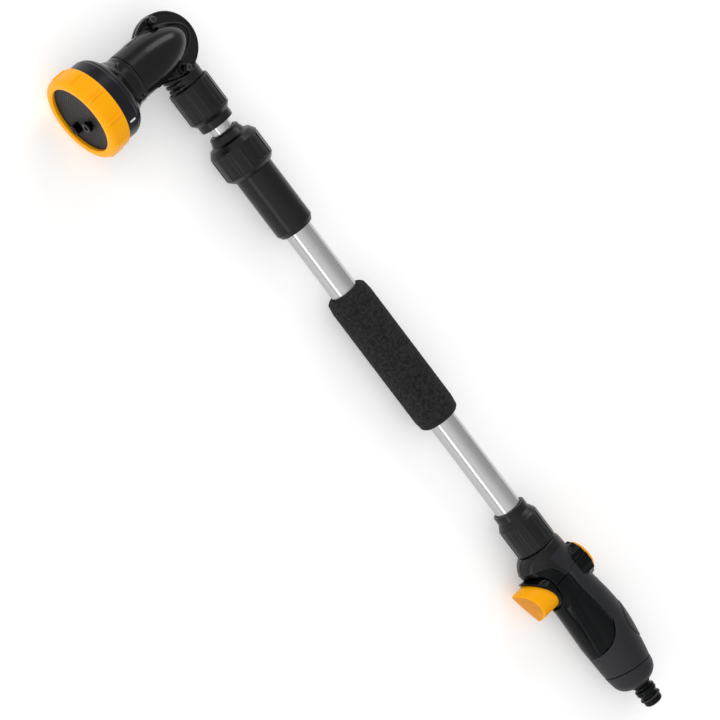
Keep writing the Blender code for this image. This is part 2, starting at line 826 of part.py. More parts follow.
def make_index_mark(wand):
    """A short raised tick on the bell's rim, which the bezel's pattern marks line up with."""
    turn = math.radians(38)
    place = Vector((-math.sin(turn), 0, math.cos(turn))) * (BELL_RADIUS + 0.55 * MM)
    place += Vector((0, 71 * MM, 0))
    wand.box("index_mark", (1.6 * MM, 5 * MM, 0.5 * MM), place, wand.shower, "white",
             Matrix.Rotation(-turn, 4, "Y"))


def make_bezel_ring(wand):
    outer = BEZEL_RADIUS / MM
    back = BEZEL_BACK / MM
    front = BEZEL_FRONT / MM
    mouth = BEZEL_MOUTH / MM
    profile = [
        (back, 33.7),
        (back, 34.6),
        (back + 0.8, 35.5),
        (back + 2.2, outer),
        (front - 4.5, outer),
        (front - 1.6, 35.2),
        (front, 33.4),
        (front, mouth + 0.6),
        (front - 0.6, mouth),
        (front - 3.4, mouth),
        (front - 3.4, 33.7),
    ]
    wand.turned("bezel_ring", profile, wand.shower, "yellow", "Y", FINE_STEPS)


def make_spray_face(wand):
    """The shallow dish that the shower leaves through."""
    profile = [
        (88.0, 0.0),
        (88.3, 12.0),
        (88.9, 22.0),
        (90.0, 30.0),
        (90.1, 33.3),
        (86.6, 33.3),
        (85.6, 20.0),
        (85.2, 0.0),
    ]
    face = wand.turned("spray_face", profile, wand.shower, "grey", "Y")
    jet = wand.empty("jet_place", (-8 * MM, 0, -4.4 * MM), wand.shower)
    fan = wand.empty("fan_place", (-5.9 * MM, 0, -20.5 * MM), wand.shower)
    jet_hole = wand.cylinder("face_jet_hole", 3.0 * MM, 80 * MM, 95 * MM, jet, None, "Y", 12)
    fan_hole = wand.box("face_fan_hole", (8.4 * MM, 20 * MM, 6.4 * MM), (0, 88 * MM, 0), fan, None)
    cut(face, jet_hole, fan_hole)
    nozzle = [(84.6, 1.2), (84.6, 2.7), (89.2, 2.7), (89.2, 4.0), (90.8, 4.0), (91.3, 3.4),
              (91.3, 1.2)]
    wand.turned("jet_nozzle", nozzle, jet, "gloss", "Y", 12)
    lug = wand.box("fan_nozzle", (7.8 * MM, 8.6 * MM, 5.8 * MM), (0, 88.9 * MM, 0), fan, "gloss")
    cut(lug, wand.box("fan_slot", (5.2 * MM, 12 * MM, 1.2 * MM), (0, 88.9 * MM, 0), fan, None))


def make_selector(wand):
    """The fixed plate behind the face, whose port feeds the pattern that is turned to it."""
    plate = [(78.0, 2.0), (78.0, 30.4), (81.0, 30.4), (81.0, 2.0)]
    selector = wand.turned("selector_plate", plate, wand.shower, "inner", "Y")
    port = wand.empty("port_place", (-8 * MM, 0, -4.4 * MM), wand.shower)
    cut(selector, wand.cylinder("selector_port", 3.2 * MM, 70 * MM, 90 * MM, port, None, "Y", 16))
    seal = [(81.3, 27.5), (81.3, 30.0), (84.3, 30.0), (84.3, 27.5)]
    wand.turned("face_seal", seal, wand.shower, "rubber", "Y")


def main():
    clear_scene()
    wand = Wand()
    for make in (
        make_hose_nipple,
        make_inlet_parts,
        make_end_cap,
        make_soft_grip,
        make_grip_shell,
        make_valve_housing,
        make_valve_block,
        make_valve_spool,
        make_front_button,
        make_rear_button,
        make_button_collar,
        make_outer_tube,
        make_foam_grip,
        make_handle_nut,
        make_lock_sleeve,
        make_guide_bush,
        make_lock_collet,
        make_lock_nut,
        make_inner_tube,
        make_piston,
        make_elbow_nut,
        make_elbow_housing,
        make_pivot_retainer,
        make_flange_screws,
        make_head_arm,
        make_head_bell,
        make_index_mark,
        make_bezel_ring,
        make_spray_face,
        make_selector,
    ):
        make(wand)


main()
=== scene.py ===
import json
import math

import bmesh
import bpy
import numpy as np
from mathutils import Matrix, Vector


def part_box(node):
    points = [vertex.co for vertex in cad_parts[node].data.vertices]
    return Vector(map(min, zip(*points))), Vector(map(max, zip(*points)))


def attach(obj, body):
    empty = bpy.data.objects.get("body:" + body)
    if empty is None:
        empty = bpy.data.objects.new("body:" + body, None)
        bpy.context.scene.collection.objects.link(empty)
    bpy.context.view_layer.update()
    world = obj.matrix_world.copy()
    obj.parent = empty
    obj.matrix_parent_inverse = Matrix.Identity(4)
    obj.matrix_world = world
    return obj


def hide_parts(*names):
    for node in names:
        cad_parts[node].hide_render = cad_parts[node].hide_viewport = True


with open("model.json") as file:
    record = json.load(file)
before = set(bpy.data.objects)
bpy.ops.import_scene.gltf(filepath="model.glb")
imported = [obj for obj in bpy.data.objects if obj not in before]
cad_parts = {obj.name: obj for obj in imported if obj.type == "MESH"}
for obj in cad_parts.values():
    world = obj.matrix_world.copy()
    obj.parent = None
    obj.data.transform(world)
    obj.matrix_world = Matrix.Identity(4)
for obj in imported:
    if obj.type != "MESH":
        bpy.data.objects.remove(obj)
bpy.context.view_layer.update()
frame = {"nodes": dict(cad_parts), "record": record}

# All shapes are made in wand axes and millimetres: X runs along the lance towards the head,
# Y towards the side that the shower leaves, Z is the head's pivot. ORIGIN puts them in place.
MM = 0.001
PIVOT = 280.0
SCREW_REACH = 22.0
VALVE = -230.5
SHOWER = 15.0


def middle(node):
    low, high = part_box(node)
    return (low + high) / 2 / MM


TUBE_MIDDLE = middle("outer_tube")
ORIGIN = np.array((middle("pivot_retainer").x - PIVOT, TUBE_MIDDLE.y, TUBE_MIDDLE.z))


def ends(node, axis=0):
    """Where a CAD node starts and stops along one wand axis."""
    low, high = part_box(node)
    return low[axis] / MM - ORIGIN[axis], high[axis] / MM - ORIGIN[axis]


# ---------------------------------------------------------------- shapes turned on an axis


def outline(corners, arc_steps=5, step=None):
    """Points along (place, radius, rounding) corners, as a ring if they stay off the axis."""
    points = np.array([corner[:2] for corner in corners], float)
    rounding = [corner[2] if len(corner) > 2 else 0.0 for corner in corners]
    count = len(points)
    ring = points[:, 1].min() > 0
    line = []
    for i, corner in enumerate(points):
        back = points[i - 1] - corner
        ahead = points[(i + 1) % count] - corner
        if not rounding[i] or (not ring and i in (0, count - 1)):
            line.append(corner)
            continue
        back_length, ahead_length = np.hypot(*back), np.hypot(*ahead)
        cosine = np.clip(back @ ahead / back_length / ahead_length, -0.999, 0.999)
        reach = rounding[i] / math.tan(math.acos(cosine) / 2)
        reach = min(reach, 0.49 * back_length, 0.49 * ahead_length)
        start = corner + back * reach / back_length
        stop = corner + ahead * reach / ahead_length
        for share in np.linspace(0, 1, arc_steps):
            first, last = (1 - share) ** 2 * start, share**2 * stop
            line.append(first + 2 * share * (1 - share) * corner + last)
    if step:
        line = resampled(line, step, ring)
    return np.array(line), ring


def resampled(line, step, ring):
    """The same line with its long straight runs divided."""
    result = []
    pairs = list(zip(line, line[1:] + line[:1]))
    for here, there in pairs if ring else pairs[:-1]:
        pieces = max(1, round(float(np.hypot(*(there - here))) / step))
        result += [here + (there - here) * i / pieces for i in range(pieces)]
    return result if ring else result + [line[-1]]


def lathe(corners, axis="X", centre=(0.0, 0.0), sides=96, step=None, swell=None, arc_steps=5):
    """A turned shape. Turns are measured from +Z, or from +X where the axis is Z.

    centre is the axis's place across the other two directions, in their order.
    swell(along, turn, radius) gives the radius again, for facets and ribs.
    """
    line, ring = outline(corners, arc_steps, step)
    turn = 2 * math.pi * np.arange(sides) / sides
    along = np.repeat(line[:, :1], sides, 1)
    radius = np.repeat(line[:, 1:], sides, 1)
    turn = np.repeat(turn[None, :], len(line), 0)
    if swell:
        radius = np.where(radius > 0, swell(along, turn, radius), 0)
    sine, cosine = radius * np.sin(turn), radius * np.cos(turn)
    grid = {
        "X": (along, centre[0] - sine, centre[1] + cosine),
        "Y": (centre[0] - sine, along, centre[1] + cosine),
        "Z": (centre[0] + cosine, centre[1] + sine, along),
    }[axis]
    index = np.arange(along.size).reshape(along.shape)
    rows = index if ring else index[:-1]
    after = np.roll(index, -1, 0) if ring else index[1:]
    faces = [rows, after, np.roll(after, -1, 1), np.roll(rows, -1, 1)]
    return np.stack(grid, -1).reshape(-1, 3), np.stack(faces, -1).reshape(-1, 4)


# ---------------------------------------------------------------- shapes from distance fields


def join(a, b, fillet=0.5):
    """Distance to either shape, with a fillet where they meet."""
    share = np.clip(0.5 + 0.5 * (b - a) / fillet, 0, 1)
    return b + (a - b) * share - fillet * share * (1 - share)


def keep(a, b, fillet=0.5):
    return -join(-a, -b, fillet)


def cut(a, b, fillet=0.5):
    return -join(-a, b, fillet)


def drum(along, across, start, end, radius, edge=0.4):
    """Distance to a round drum, from the distances along and across its axis."""
    side = across - radius + edge
    cap = np.abs(along - (start + end) / 2) - abs(end - start) / 2 + edge
    outside = np.hypot(np.maximum(side, 0), np.maximum(cap, 0))
    return np.minimum(np.maximum(side, cap), 0) + outside - edge


def block(x, y, z, half, edge=0.4):
    """Distance to a box about the origin."""
    over = [np.abs(value) - size + edge for value, size in zip((x, y, z), half)]
    outside = np.sqrt(sum(np.maximum(value, 0) ** 2 for value in over))
    return np.minimum(np.maximum(np.maximum(over[0], over[1]), over[2]), 0) + outside - edge


def ease(value, start, end):
    """0 up to start, 1 from end, smooth between."""
    share = np.clip((value - start) / (end - start), 0, 1)
    return share * share * (3 - 2 * share)


def through(stops, at):
    """A smooth curve through (place, value) stops, in order of place."""
    place, value = np.array(stops, float).T
    slope = np.gradient(value, place)
    i = np.clip(np.searchsorted(place, at) - 1, 0, len(place) - 2)
    run = place[i + 1] - place[i]
    t = np.clip((at - place[i]) / run, 0, 1)
    first = (2 * t**3 - 3 * t**2 + 1) * value[i] + (t**3 - 2 * t**2 + t) * run * slope[i]
    return first + (3 * t**2 - 2 * t**3) * value[i + 1] + (t**3 - t**2) * run * slope[i + 1]


def sculpt(field, low, high, step=0.6):
    """The surface where field(x, y, z) is zero, as quads, by surface nets on a grid."""
    low = np.array(low, float)
    counts = np.ceil((np.array(high) - low) / step).astype(int) + 1
    axes = [low[i] + step * np.arange(counts[i]) for i in range(3)]
    value = field(*np.meshgrid(*axes, indexing="ij"))
    cells = counts - 1
    total = np.zeros((*cells, 3), np.float32)
    count = np.zeros(cells, np.int16)
    crossings = []
    for axis in range(3):
        near = np.moveaxis(value, axis, 0)[:-1]
        far = np.moveaxis(value, axis, 0)[1:]
        crossing = np.moveaxis((near < 0) != (far < 0), 0, axis)
        gap = np.where(near == far, 1, near - far)
        share = np.moveaxis(np.where(near == far, 0.5, near / gap), 0, axis)
        crossings.append((crossing, np.moveaxis(near < 0, 0, axis)))
        others = [other for other in range(3) if other != axis]
        for shift in ((0, 0), (0, 1), (1, 0), (1, 1)):
            window = [slice(None)] * 3
            for other, offset in zip(others, shift):
                window[other] = slice(offset, offset + cells[other])
            hit = crossing[tuple(window)]
            total[..., axis] += np.where(hit, share[tuple(window)], 0)
            for other, offset in zip(others, shift):
                total[..., other] += hit * offset
            count += hit
    active = count > 0
    index = np.full(cells, -1)
    index[active] = np.arange(active.sum())
    cell = np.argwhere(active)
    points = low + step * (cell + total[active] / count[active][:, None])
    faces = [net_faces(index, crossings, axis) for axis in range(3)]
    return settled(points, field, step), np.concatenate(faces)


def net_faces(index, crossings, axis):
    """One quad round each grid edge along this axis that the surface crosses."""
    crossing, inside = crossings[axis]
    others = [other for other in range(3) if other != axis]
    inner = [slice(None)] * 3
    for other in others:
        inner[other] = slice(1, -1)
    hits = np.argwhere(crossing[tuple(inner)])
    within = inside[tuple(inner)][tuple(hits.T)]
    corners = []
    for shift in ((0, 0), (0, 1), (1, 1), (1, 0)):
        spot = hits.copy()
        for other, offset in zip(others, shift):
            spot[:, other] += offset
        corners.append(index[tuple(spot.T)])
    faces = np.stack(corners, -1)
    flip = within == (axis == 1)
    faces[flip] = faces[flip][:, ::-1]
    return faces


def settled(points, field, step):
    """The points moved onto the surface itself."""
    reach = 0.02
    for _ in range(3):
        slope = np.empty_like(points)
        for axis in range(3):
            ahead, behind = points.copy(), points.copy()
            ahead[:, axis] += reach
            behind[:, axis] -= reach
            slope[:, axis] = (field(*ahead.T) - field(*behind.T)) / (2 * reach)
        size = np.maximum((slope**2).sum(1), 0.05)
        move = np.clip(field(*points.T) / size, -0.5 * step, 0.5 * step)
        points = points - slope * move[:, None]
    return points


# ---------------------------------------------------------------- pieces


def add_object(name, data):
    thing = bpy.data.objects.new(name, data)
    bpy.context.scene.collection.objects.link(thing)
    return thing


def make_mesh(name, shape):
    """A mesh in the scene's metres from a shape's points and faces."""
    points, faces = shape
    mesh = bpy.data.meshes.new(name)
    mesh.from_pydata(((points + ORIGIN) * MM).tolist(), [], faces.tolist())
    return mesh


def add_piece(name, shape, body, node, slot, look=None):
    """One smooth mesh object that rides on a body in place of a CAD node."""
    mesh = make_mesh(name, shape)
    builder = bmesh.new()
    builder.from_mesh(mesh)
    bmesh.ops.remove_doubles(builder, verts=builder.verts, dist=1e-7)
    bmesh.ops.recalc_face_normals(builder, faces=builder.faces)
    builder.to_mesh(mesh)
    builder.free()
    mesh.shade_smooth()
    mesh.materials.append(look or LOOKS[slot])
    piece = add_object(name, mesh)
    weighted = piece.modifiers.new("face_weights", "WEIGHTED_NORMAL")
    weighted.keep_sharp = True
    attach(piece, body)
    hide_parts(node)
    return piece


# ---------------------------------------------------------------- materials


def fill_ramp(ramp, stops):
    """Sets a colour ramp's (place, grey or colour) stops."""
    elements = ramp.color_ramp.elements
    for i, (place, value) in enumerate(stops):
        element = elements[i] if i < 2 else elements.new(place)
        element.position = place
        element.color = (*(value if isinstance(value, tuple) else (value,) * 3), 1)


class Look:
    """A Principled material whose colour, roughness and bump come from procedural nodes."""

    def __init__(self, name):
        self.material = bpy.data.materials.new(name)
        self.material.use_nodes = True
        self.nodes = self.material.node_tree.nodes
        self.links = self.material.node_tree.links
        self.shader = self.nodes["Principled BSDF"]
        self.place = self.nodes.new("ShaderNodeTexCoord").outputs["Object"]

    def noise(self, grain, detail=3.0, stretch=(1, 1, 1)):
        """Noise whose features are about grain millimetres across."""
        mapping = self.nodes.new("ShaderNodeMapping")
        mapping.inputs["Scale"].default_value = stretch
        self.links.new(self.place, mapping.inputs["Vector"])
        texture = self.nodes.new("ShaderNodeTexNoise")
        texture.inputs["Scale"].default_value = 1 / (grain * MM)
        texture.inputs["Detail"].default_value = detail
        self.links.new(mapping.outputs["Vector"], texture.inputs["Vector"])
        return texture.outputs["Fac"]

    def cells(self, size):
        texture = self.nodes.new("ShaderNodeTexVoronoi")
        texture.inputs["Scale"].default_value = 1 / (size * MM)
        self.links.new(self.place, texture.inputs["Vector"])
        return texture.outputs["Distance"]

    def ramp(self, source, stops, target):
        """A colour ramp from (place, value) stops into a socket of the shader."""
        ramp = self.nodes.new("ShaderNodeValToRGB")
        fill_ramp(ramp, stops)
        self.links.new(source, ramp.inputs["Fac"])
        self.links.new(ramp.outputs["Color"], self.shader.inputs[target])

    def bump(self, heights):
        """Bumps laid over each other, from (source, depth in millimetres) pairs."""
        last = None
        for source, depth in heights:
            bump = self.nodes.new("ShaderNodeBump")
            bump.inputs["Distance"].default_value = depth * MM
            self.links.new(source, bump.inputs["Height"])
            if last:
                self.links.new(last, bump.inputs["Normal"])
            last = bump.outputs["Normal"]
        self.links.new(last, self.shader.inputs["Normal"])

    def set(self, **values):
        for name, value in values.items():
            self.shader.inputs[name.replace("_", " ")].default_value = value


def scaled(colour, factor):
    return tuple(channel * factor for channel in colour)


def plastic(name, colour, roughness, grain=0.35, depth=0.01, spread=0.12, specular=0.5):
    """Moulded plastic: a fine spark-eroded grain, faint cloudiness and uneven polish."""
    look = Look(name)
    cloud = look.noise(9.0, 2.0)
    fine = look.noise(grain, 2.0)
    stops = [(0.3, scaled(colour, 1 - spread)), (0.7, scaled(colour, 1 + spread))]
    look.ramp(cloud, stops, "Base Color")
    look.ramp(look.noise(4.0, 4.0), [(0.3, roughness * 0.88), (0.7, roughness * 1.12)], "Roughness")
    look.bump([(look.noise(14.0, 1.0), depth * 1.5), (fine, depth)])
    look.set(Specular_IOR_Level=specular)
    return look.material


def aluminium(name, colour, roughness):
    """Drawn and brushed tube: long scratches along X and a soft sheen."""
    look = Look(name)
    brushed = look.noise(0.5, 3.0, (0.02, 1, 1))
    cloud = look.noise(30.0, 2.0)
    look.ramp(cloud, [(0.3, scaled(colour, 0.96)), (0.7, scaled(colour, 1.04))], "Base Color")
    look.ramp(brushed, [(0.25, roughness * 0.8), (0.75, roughness * 1.2)], "Roughness")
    look.bump([(brushed, 0.004)])
    look.set(Metallic=1.0)
    return look.material


def foam(name):
    """Closed-cell foam: small open pores over a matt skin."""
    look = Look(name)
    pores = look.cells(1.1)
    mottle = look.noise(2.2, 5.0)
    stops = [(0.38, (0.008, 0.0078, 0.008)), (0.66, (0.026, 0.0255, 0.026))]
    look.ramp(mottle, stops, "Base Color")
    look.ramp(look.noise(3.0, 2.0), [(0.3, 0.86), (0.7, 1.0)], "Roughness")
    look.bump([(mottle, 0.9), (pores, 0.5), (look.noise(0.5, 2.0), 0.2)])
    look.set(Specular_IOR_Level=0.25)
    return look.material


def rubber(name, colour, roughness, grain=0.5, depth=0.03):
    """Soft rubber: an even matt surface with a slight stipple."""
    look = Look(name)
    stops = [(0.3, scaled(colour, 0.9)), (0.7, scaled(colour, 1.1))]
    look.ramp(look.noise(6.0, 4.0), stops, "Base Color")
    look.ramp(look.noise(2.5, 3.0), [(0.3, roughness * 0.93), (0.7, roughness * 1.07)], "Roughness")
    look.bump([(look.noise(grain, 2.0), depth)])
    look.set(Specular_IOR_Level=0.4)
    return look.material


def metal(name, colour, roughness):
    look = Look(name)
    stops = [(0.3, scaled(colour, 0.85)), (0.7, scaled(colour, 1.1))]
    look.ramp(look.noise(2.0, 4.0), stops, "Base Color")
    look.ramp(look.noise(0.8, 3.0), [(0.3, roughness * 0.8), (0.7, roughness * 1.25)], "Roughness")
    look.bump([(look.noise(0.6, 3.0), 0.01)])
    look.set(Metallic=1.0)
    return look.material


LOOKS = {
    "black_plastic": plastic("black_abs", (0.0027, 0.0027, 0.0029), 0.3, specular=0.28),
    "gloss_black_plastic": plastic("gloss_black_abs", (0.001, 0.0015, 0.002), 0.16, depth=0.003,
                                   specular=0.13),
    "yellow_plastic": plastic("orange_yellow_abs", (0.98, 0.405, 0.0004), 0.3, depth=0.004,
                              spread=0.01, specular=0.12),
    "grey_plastic": plastic("dark_grey_abs", (0.04, 0.04, 0.043), 0.45, depth=0.006, specular=0.16),
    "white_plastic": plastic("white_abs", (0.8, 0.8, 0.8), 0.4, spread=0.02),
    "inner_plastic": plastic("natural_acetal", (0.55, 0.55, 0.51), 0.42, spread=0.04),
    "aluminium": aluminium("anodised_aluminium", (0.5, 0.5, 0.505), 0.25),
    "steel": metal("blackened_steel", (0.07, 0.07, 0.075), 0.32),
    "rubber": rubber("seal_rubber", (0.01, 0.01, 0.0105), 0.5),
    "soft_grip_rubber": rubber("soft_grip_tpe", (0.0052, 0.0056, 0.0078), 0.52),
    "foam": foam("black_foam"),
}
POLISHED_BLACK = plastic("polished_black_abs", (0.0025, 0.0025, 0.0027), 0.21, depth=0.004,
                         specular=0.28)
RIM_BLACK = plastic("rim_black_abs", (0.002, 0.0025, 0.006), 0.3, depth=0.004, specular=0.26)
# Painted shade: a darker, rougher orange for the front button's end face, standing in for the shade
# on the face that looks away from the light.
BUTTON_FACE_PAINTED_SHADE = plastic("button_face_painted_shade_abs", (0.66, 0.25, 0.02), 0.42, depth=0.008, specular=0.16)
MATT_BLACK = plastic("matt_black_abs", (0.01, 0.0105, 0.014), 0.5, depth=0.012, specular=0.3)


# ---------------------------------------------------------------- nuts, sleeve and tubes

NUT_FACETS = 12
FACET_SPIN = math.radians(11)


def facets(start, end, margin=1.0, recess=0.45, spin=FACET_SPIN, body=None):
    """A radius function: flat facets, each with a sunk panel from start to end."""
    half = math.pi / NUT_FACETS

    def swell(along, turn, radius):
        local = np.mod(turn - spin, 2 * half) - half
        flat = radius * math.cos(half) / np.cos(local)
        faceted = -join(-flat, -(0.993 * radius), 0.12)
        width = radius * np.sin(half) - np.abs(radius * np.tan(local)) - margin / 2
        panel = ease(width, 0, 0.22) * ease(along, start, start + 0.5)
        panel = panel * (1 - ease(along, end - 0.5, end))
        outer = radius > body if body else radius > 0
        return np.where(outer, faceted - recess * panel, radius)

    return swell


def make_handle_nut():
    back, front = ends("handle_nut")
    radius = 17.1
    corners = [
        (front, 11.6, 0.2), (front, 13.7, 0.6), (front - 6.3, 13.7, 0.5),
        (front - 11.9, radius, 0.7), (back, radius, 0.9), (back, 15.2, 0.3),
        (front - 13.5, 15.2, 0.3), (front - 8.5, 11.9, 0.2),
    ]
    swell = facets(back + 1.2, front - 12.6, body=15.6)
    shape = lathe(corners, sides=432, step=0.5, swell=swell)
    add_piece("handle_nut_cap", shape, "handle_nut", "handle_nut", "black_plastic")


def make_lock_nut():
    back, front = ends("lock_nut")
    radius = 20.9
    corners = [
        (front, 9.5, 0.2), (front, 11.4, 0.3), (front - 1.2, 12.8, 0.35), (front - 1.8, 12.4, 0.2),
        (front - 6.9, 14.3, 0.8), (front - 8.4, 18.2, 0.4), (front - 8.9, 18.3, 0.2),
        (front - 12.8, radius, 0.9), (back + 3.6, radius, 0.8), (back, 17.7, 0.5),
        (back, 16.9, 0.2), (back + 22.5, 16.9, 0.2), (back + 25.5, 13.5, 0.2),
        (front - 4.3, 11.3, 0.2), (front - 4.3, 9.5, 0.2),
    ]
    panels = facets(back + 4.4, front - 14.2, margin=1.3, recess=0.55, body=17.3)

    def swell(along, turn, radius):
        fade = ease(along, front - 8.6, front - 6.5)
        return panels(along, turn, radius) * (1 - fade) + radius * fade

    shape = lathe(corners, sides=504, step=0.5, swell=swell)
    add_piece("lock_nut_cap", shape, "lock_nut", "lock_nut", "black_plastic")


def make_elbow_nut():
    back, front = ends("elbow_nut")
    radius = 17.25
    corners = [
        (front, 15.7, 0.3), (front, radius, 0.9), (back + 9.9, radius, 0.6),
        (back + 6.2, 13.9, 0.8), (back, 13.7, 0.7), (back, 9.6, 0.3), (back + 13.0, 9.6, 0.2),
        (back + 19.0, 12.6, 0.2), (back + 22.0, 15.7, 0.2),
    ]
    swell = facets(back + 10.8, front - 1.4, body=15.9)
    shape = lathe(corners, sides=432, step=0.5, swell=swell)
    add_piece("elbow_nut_cap", shape, "elbow_nut", "elbow_nut", "black_plastic")


def make_lock_sleeve():
    start, end = ends("lock_sleeve")
    shoulder = ends("lock_nut")[0] - 0.5
    corners = [
        (start, 11.3, 0.3), (start, 13.4, 0.9), (start + 4.0, 15.75, 1.4), (shoulder, 15.75, 0.3),
        (shoulder, 15.0, 0.2),
    ]
    for i in range(2):
        base = shoulder + 3.5 + 7 * i
        crest = [(base + 2.4, 16.2, 0.3), (base + 4.2, 16.2, 0.3)]
        corners += [(base + 1, 15.0), *crest, (base + 5.6, 15.0)]
    corners += [(end, 15.0), (end, 13.2), (end - 12, 11.3), (end - 19.4, 11.3)]
    add_piece("lock_sleeve_barrel", lathe(corners, sides=144, step=2.0), "handle", "lock_sleeve",
              "black_plastic")


def make_tubes():
    for node, radius, bore, body in (
        ("outer_tube", 11.0, 10.0, "handle"),
        ("inner_tube", 8.7, 7.7, "lance_tube"),
    ):
        start, end = ends(node)
        corners = [(start, bore, 0.2), (start, radius, 0.3), (end, radius, 0.3), (end, bore, 0.2)]
        add_piece(f"{node}_drawn", lathe(corners, sides=128, step=12.0), body, node, "aluminium")


def make_foam_grip():
    start, end = ends("foam_grip")
    radius = 17.6
    corners = [
        (start, 11.3, 0.4), (start, 14.2, 1.2), (start + 2.2, 16.6, 2.5),
        (start + 10, radius, 9.0), (end - 10, radius, 9.0), (end - 2.2, 16.6, 2.5),
        (end, 14.2, 1.2), (end, 11.3, 0.4),
    ]
    shape = lathe(corners, sides=220, step=0.6, arc_steps=9)
    piece = add_piece("foam_grip_sleeve", shape, "handle", "foam_grip", "foam")
    pores = bpy.data.textures.new("foam_pores", "CLOUDS")
    pores.noise_scale = 1.3 * MM
    pores.noise_depth = 3
    rough = piece.modifiers.new("pores", "DISPLACE")
    rough.texture = pores
    rough.strength = 0.45 * MM
    rough.mid_level = 0.85


# ---------------------------------------------------------------- hose end


def make_hose_nipple():
    end = ends("hose_nipple")[0]
    corners = [
        (end + 35, 5.0, 0.2), (end + 35, 12.6, 0.4), (end + 31.5, 12.6, 0.4),
        (end + 31.5, 8.2, 0.6), (end + 18.6, 8.2, 0.8), (end + 16.8, 7.0, 0.5),
        (end + 15.3, 7.0, 0.5), (end + 14.4, 8.55, 0.6), (end + 10.8, 8.55, 0.6),
        (end + 9.2, 7.5, 0.4), (end + 7.3, 7.5, 0.2), (end + 7.3, 6.5, 0.2), (end + 4.2, 6.5, 0.2),
        (end + 4.2, 7.55, 0.3), (end + 1.2, 7.6, 0.8), (end, 6.6, 0.6), (end, 5.0, 0.5),
    ]
    add_piece("hose_nipple_spigot", lathe(corners, sides=96, step=1.0), "handle", "hose_nipple",
              "black_plastic", LOOKS["gloss_black_plastic"])
    middle_x = sum(ends("nipple_o_ring")) / 2
    ring = [
        (middle_x + 1.05 * math.cos(t), 7.6 + 1.05 * math.sin(t))
        for t in np.linspace(0, 2 * math.pi, 20, endpoint=False)
    ]
    add_piece("nipple_seal_ring", lathe(ring, sides=96), "handle", "nipple_o_ring", "rubber")


# ---------------------------------------------------------------- hand grip

# Sections of the grip, in order along X: place, centre along Y, half height along Y, half width
GRIP = np.array(
    (
        (-336.8, 0.0, 11.4, 11.2),
        (-335.2, 0.0, 14.0, 13.6),
        (-333.0, 0.0, 16.4, 15.8),
        (-330.2, 0.0, 18.0, 17.2),
        (-324.5, 0.0, 19.3, 18.2),
        (-316.0, -0.4, 20.8, 19.3),
        (-303.0, -1.2, 22.2, 20.4),
        (-290.3, -1.9, 23.3, 20.9),
        (-277.5, -2.3, 23.5, 20.7),
        (-264.7, -2.1, 22.9, 20.0),
        (-252.0, -1.3, 21.9, 19.0),
        (-243.0, 0.0, 21.2, 18.3),
        (-231.0, 1.9, 20.2, 17.8),
        (-219.0, 3.2, 21.6, 18.2),
        (-211.0, 3.5, 22.4, 18.5),
        (-206.0, 2.8, 21.4, 18.2),
        (-202.0, 1.6, 19.4, 17.6),
        (-199.9, 0.6, 16.9, 16.6),
    )
)
SEAM = -227.0
SEAM_SLANT = 0.08
CAP_SEAM = -321.0
CAP_TILT = math.radians(9)
SKIN = 1.6
WALL = 2.4
GAP = 0.3
FINE_GAP = 0.06

# Round the grip, from the finger side at 0 degrees to the palm side at 180
SKIN_LINE = ((-10, -297.0), (10, -296.4), (31, -295.8), (51, -294.6), (74, -290.5), (92, -283.5),
             (103, -274.5), (118, -263.5), (140, -255.5), (160, -251.8), (190, -250.5))
SCOOP_TOP = ((-300, 105), (-272, 93.3), (-260, 87.5), (-249, 84), (-238, 85.5), (-228, 88),
             (-223, 83), (-218, 75), (-214, 65), (-211.4, 43), (-209.5, 0))
SCOOP_LOW = ((-300, 30), (-295, 31), (-277, 35.5), (-262, 38), (-252.5, 42), (-244, 51),
             (-238, 60), (-236, 58), (-232, 20), (-228, 0))
PANEL_LOW = ((-300, 105), (-272, 94), (-260, 92), (-249, 91.5), (-228, 94), (-218, 88), (-209, 84))
PANEL_END = -208.0
MM_PER_DEGREE = 0.36


def grip(x, y, z, inset=0.0):
    """Distance to the grip's plain form, drawn in by inset."""
    place = GRIP[:, 0]
    centre = through(np.stack((place, GRIP[:, 1]), -1), x)
    height = through(np.stack((place, GRIP[:, 2]), -1), x) - inset
    width = through(np.stack((place, GRIP[:, 3]), -1), x) - inset
    across = y - centre
    size = np.maximum(np.hypot(across / height, z / width), 1e-6)
    slope = np.hypot(across / height**2, z / width**2) / size
    return (size - 1) / np.maximum(slope, 0.02)


def round_grip(x, y, z):
    """Degrees round the grip, from the finger side."""
    centre = through(np.stack((GRIP[:, 0], GRIP[:, 1]), -1), x)
    return np.degrees(np.arctan2(np.abs(z), y - centre))


def under(line, x, y, z):
    """Millimetres from a line drawn round the grip, above 0 on its finger side."""
    slope = MM_PER_DEGREE * (through(line, x + 0.5) - through(line, x - 0.5))
    return MM_PER_DEGREE * (through(line, x) - round_grip(x, y, z)) / np.hypot(1, slope)


def scooped(x, y, z):
    """The grip with the glossy hollow that runs along each side."""
    below_top, above_low = under(SCOOP_TOP, x, y, z), -under(SCOOP_LOW, x, y, z)
    hollow = ease(below_top, -0.3, 1.3) * ease(above_low, 0.0, 8.0) * ease(-x, 212, 224)
    ridge = np.exp(-((above_low / 0.9) ** 2)) * ease(-x, 238, 246) * ease(x, -300, -290)
    lip = np.exp(-(((below_top + 0.7) / 0.8) ** 2)) * ease(x, -244, -230)
    along, beside = x + 211.7, 0.36 * (round_grip(x, y, z) - 33)
    dent = np.exp(-(((0.916 * along - 0.4 * beside) / 2.3) ** 2))
    dent = dent * np.exp(-(((0.4 * along + 0.916 * beside) / 8.5) ** 2))
    return grip(x, y, z) + 2.0 * hollow - 0.7 * ridge - 0.7 * lip + 1.5 * dent


def ribbed(x, z, count, depth):
    """Distance across the valve axis, with shallow ribs round it."""
    turn = np.arctan2(z, x - VALVE)
    return np.hypot(x - VALVE, z) - depth * np.cos(count * turn)


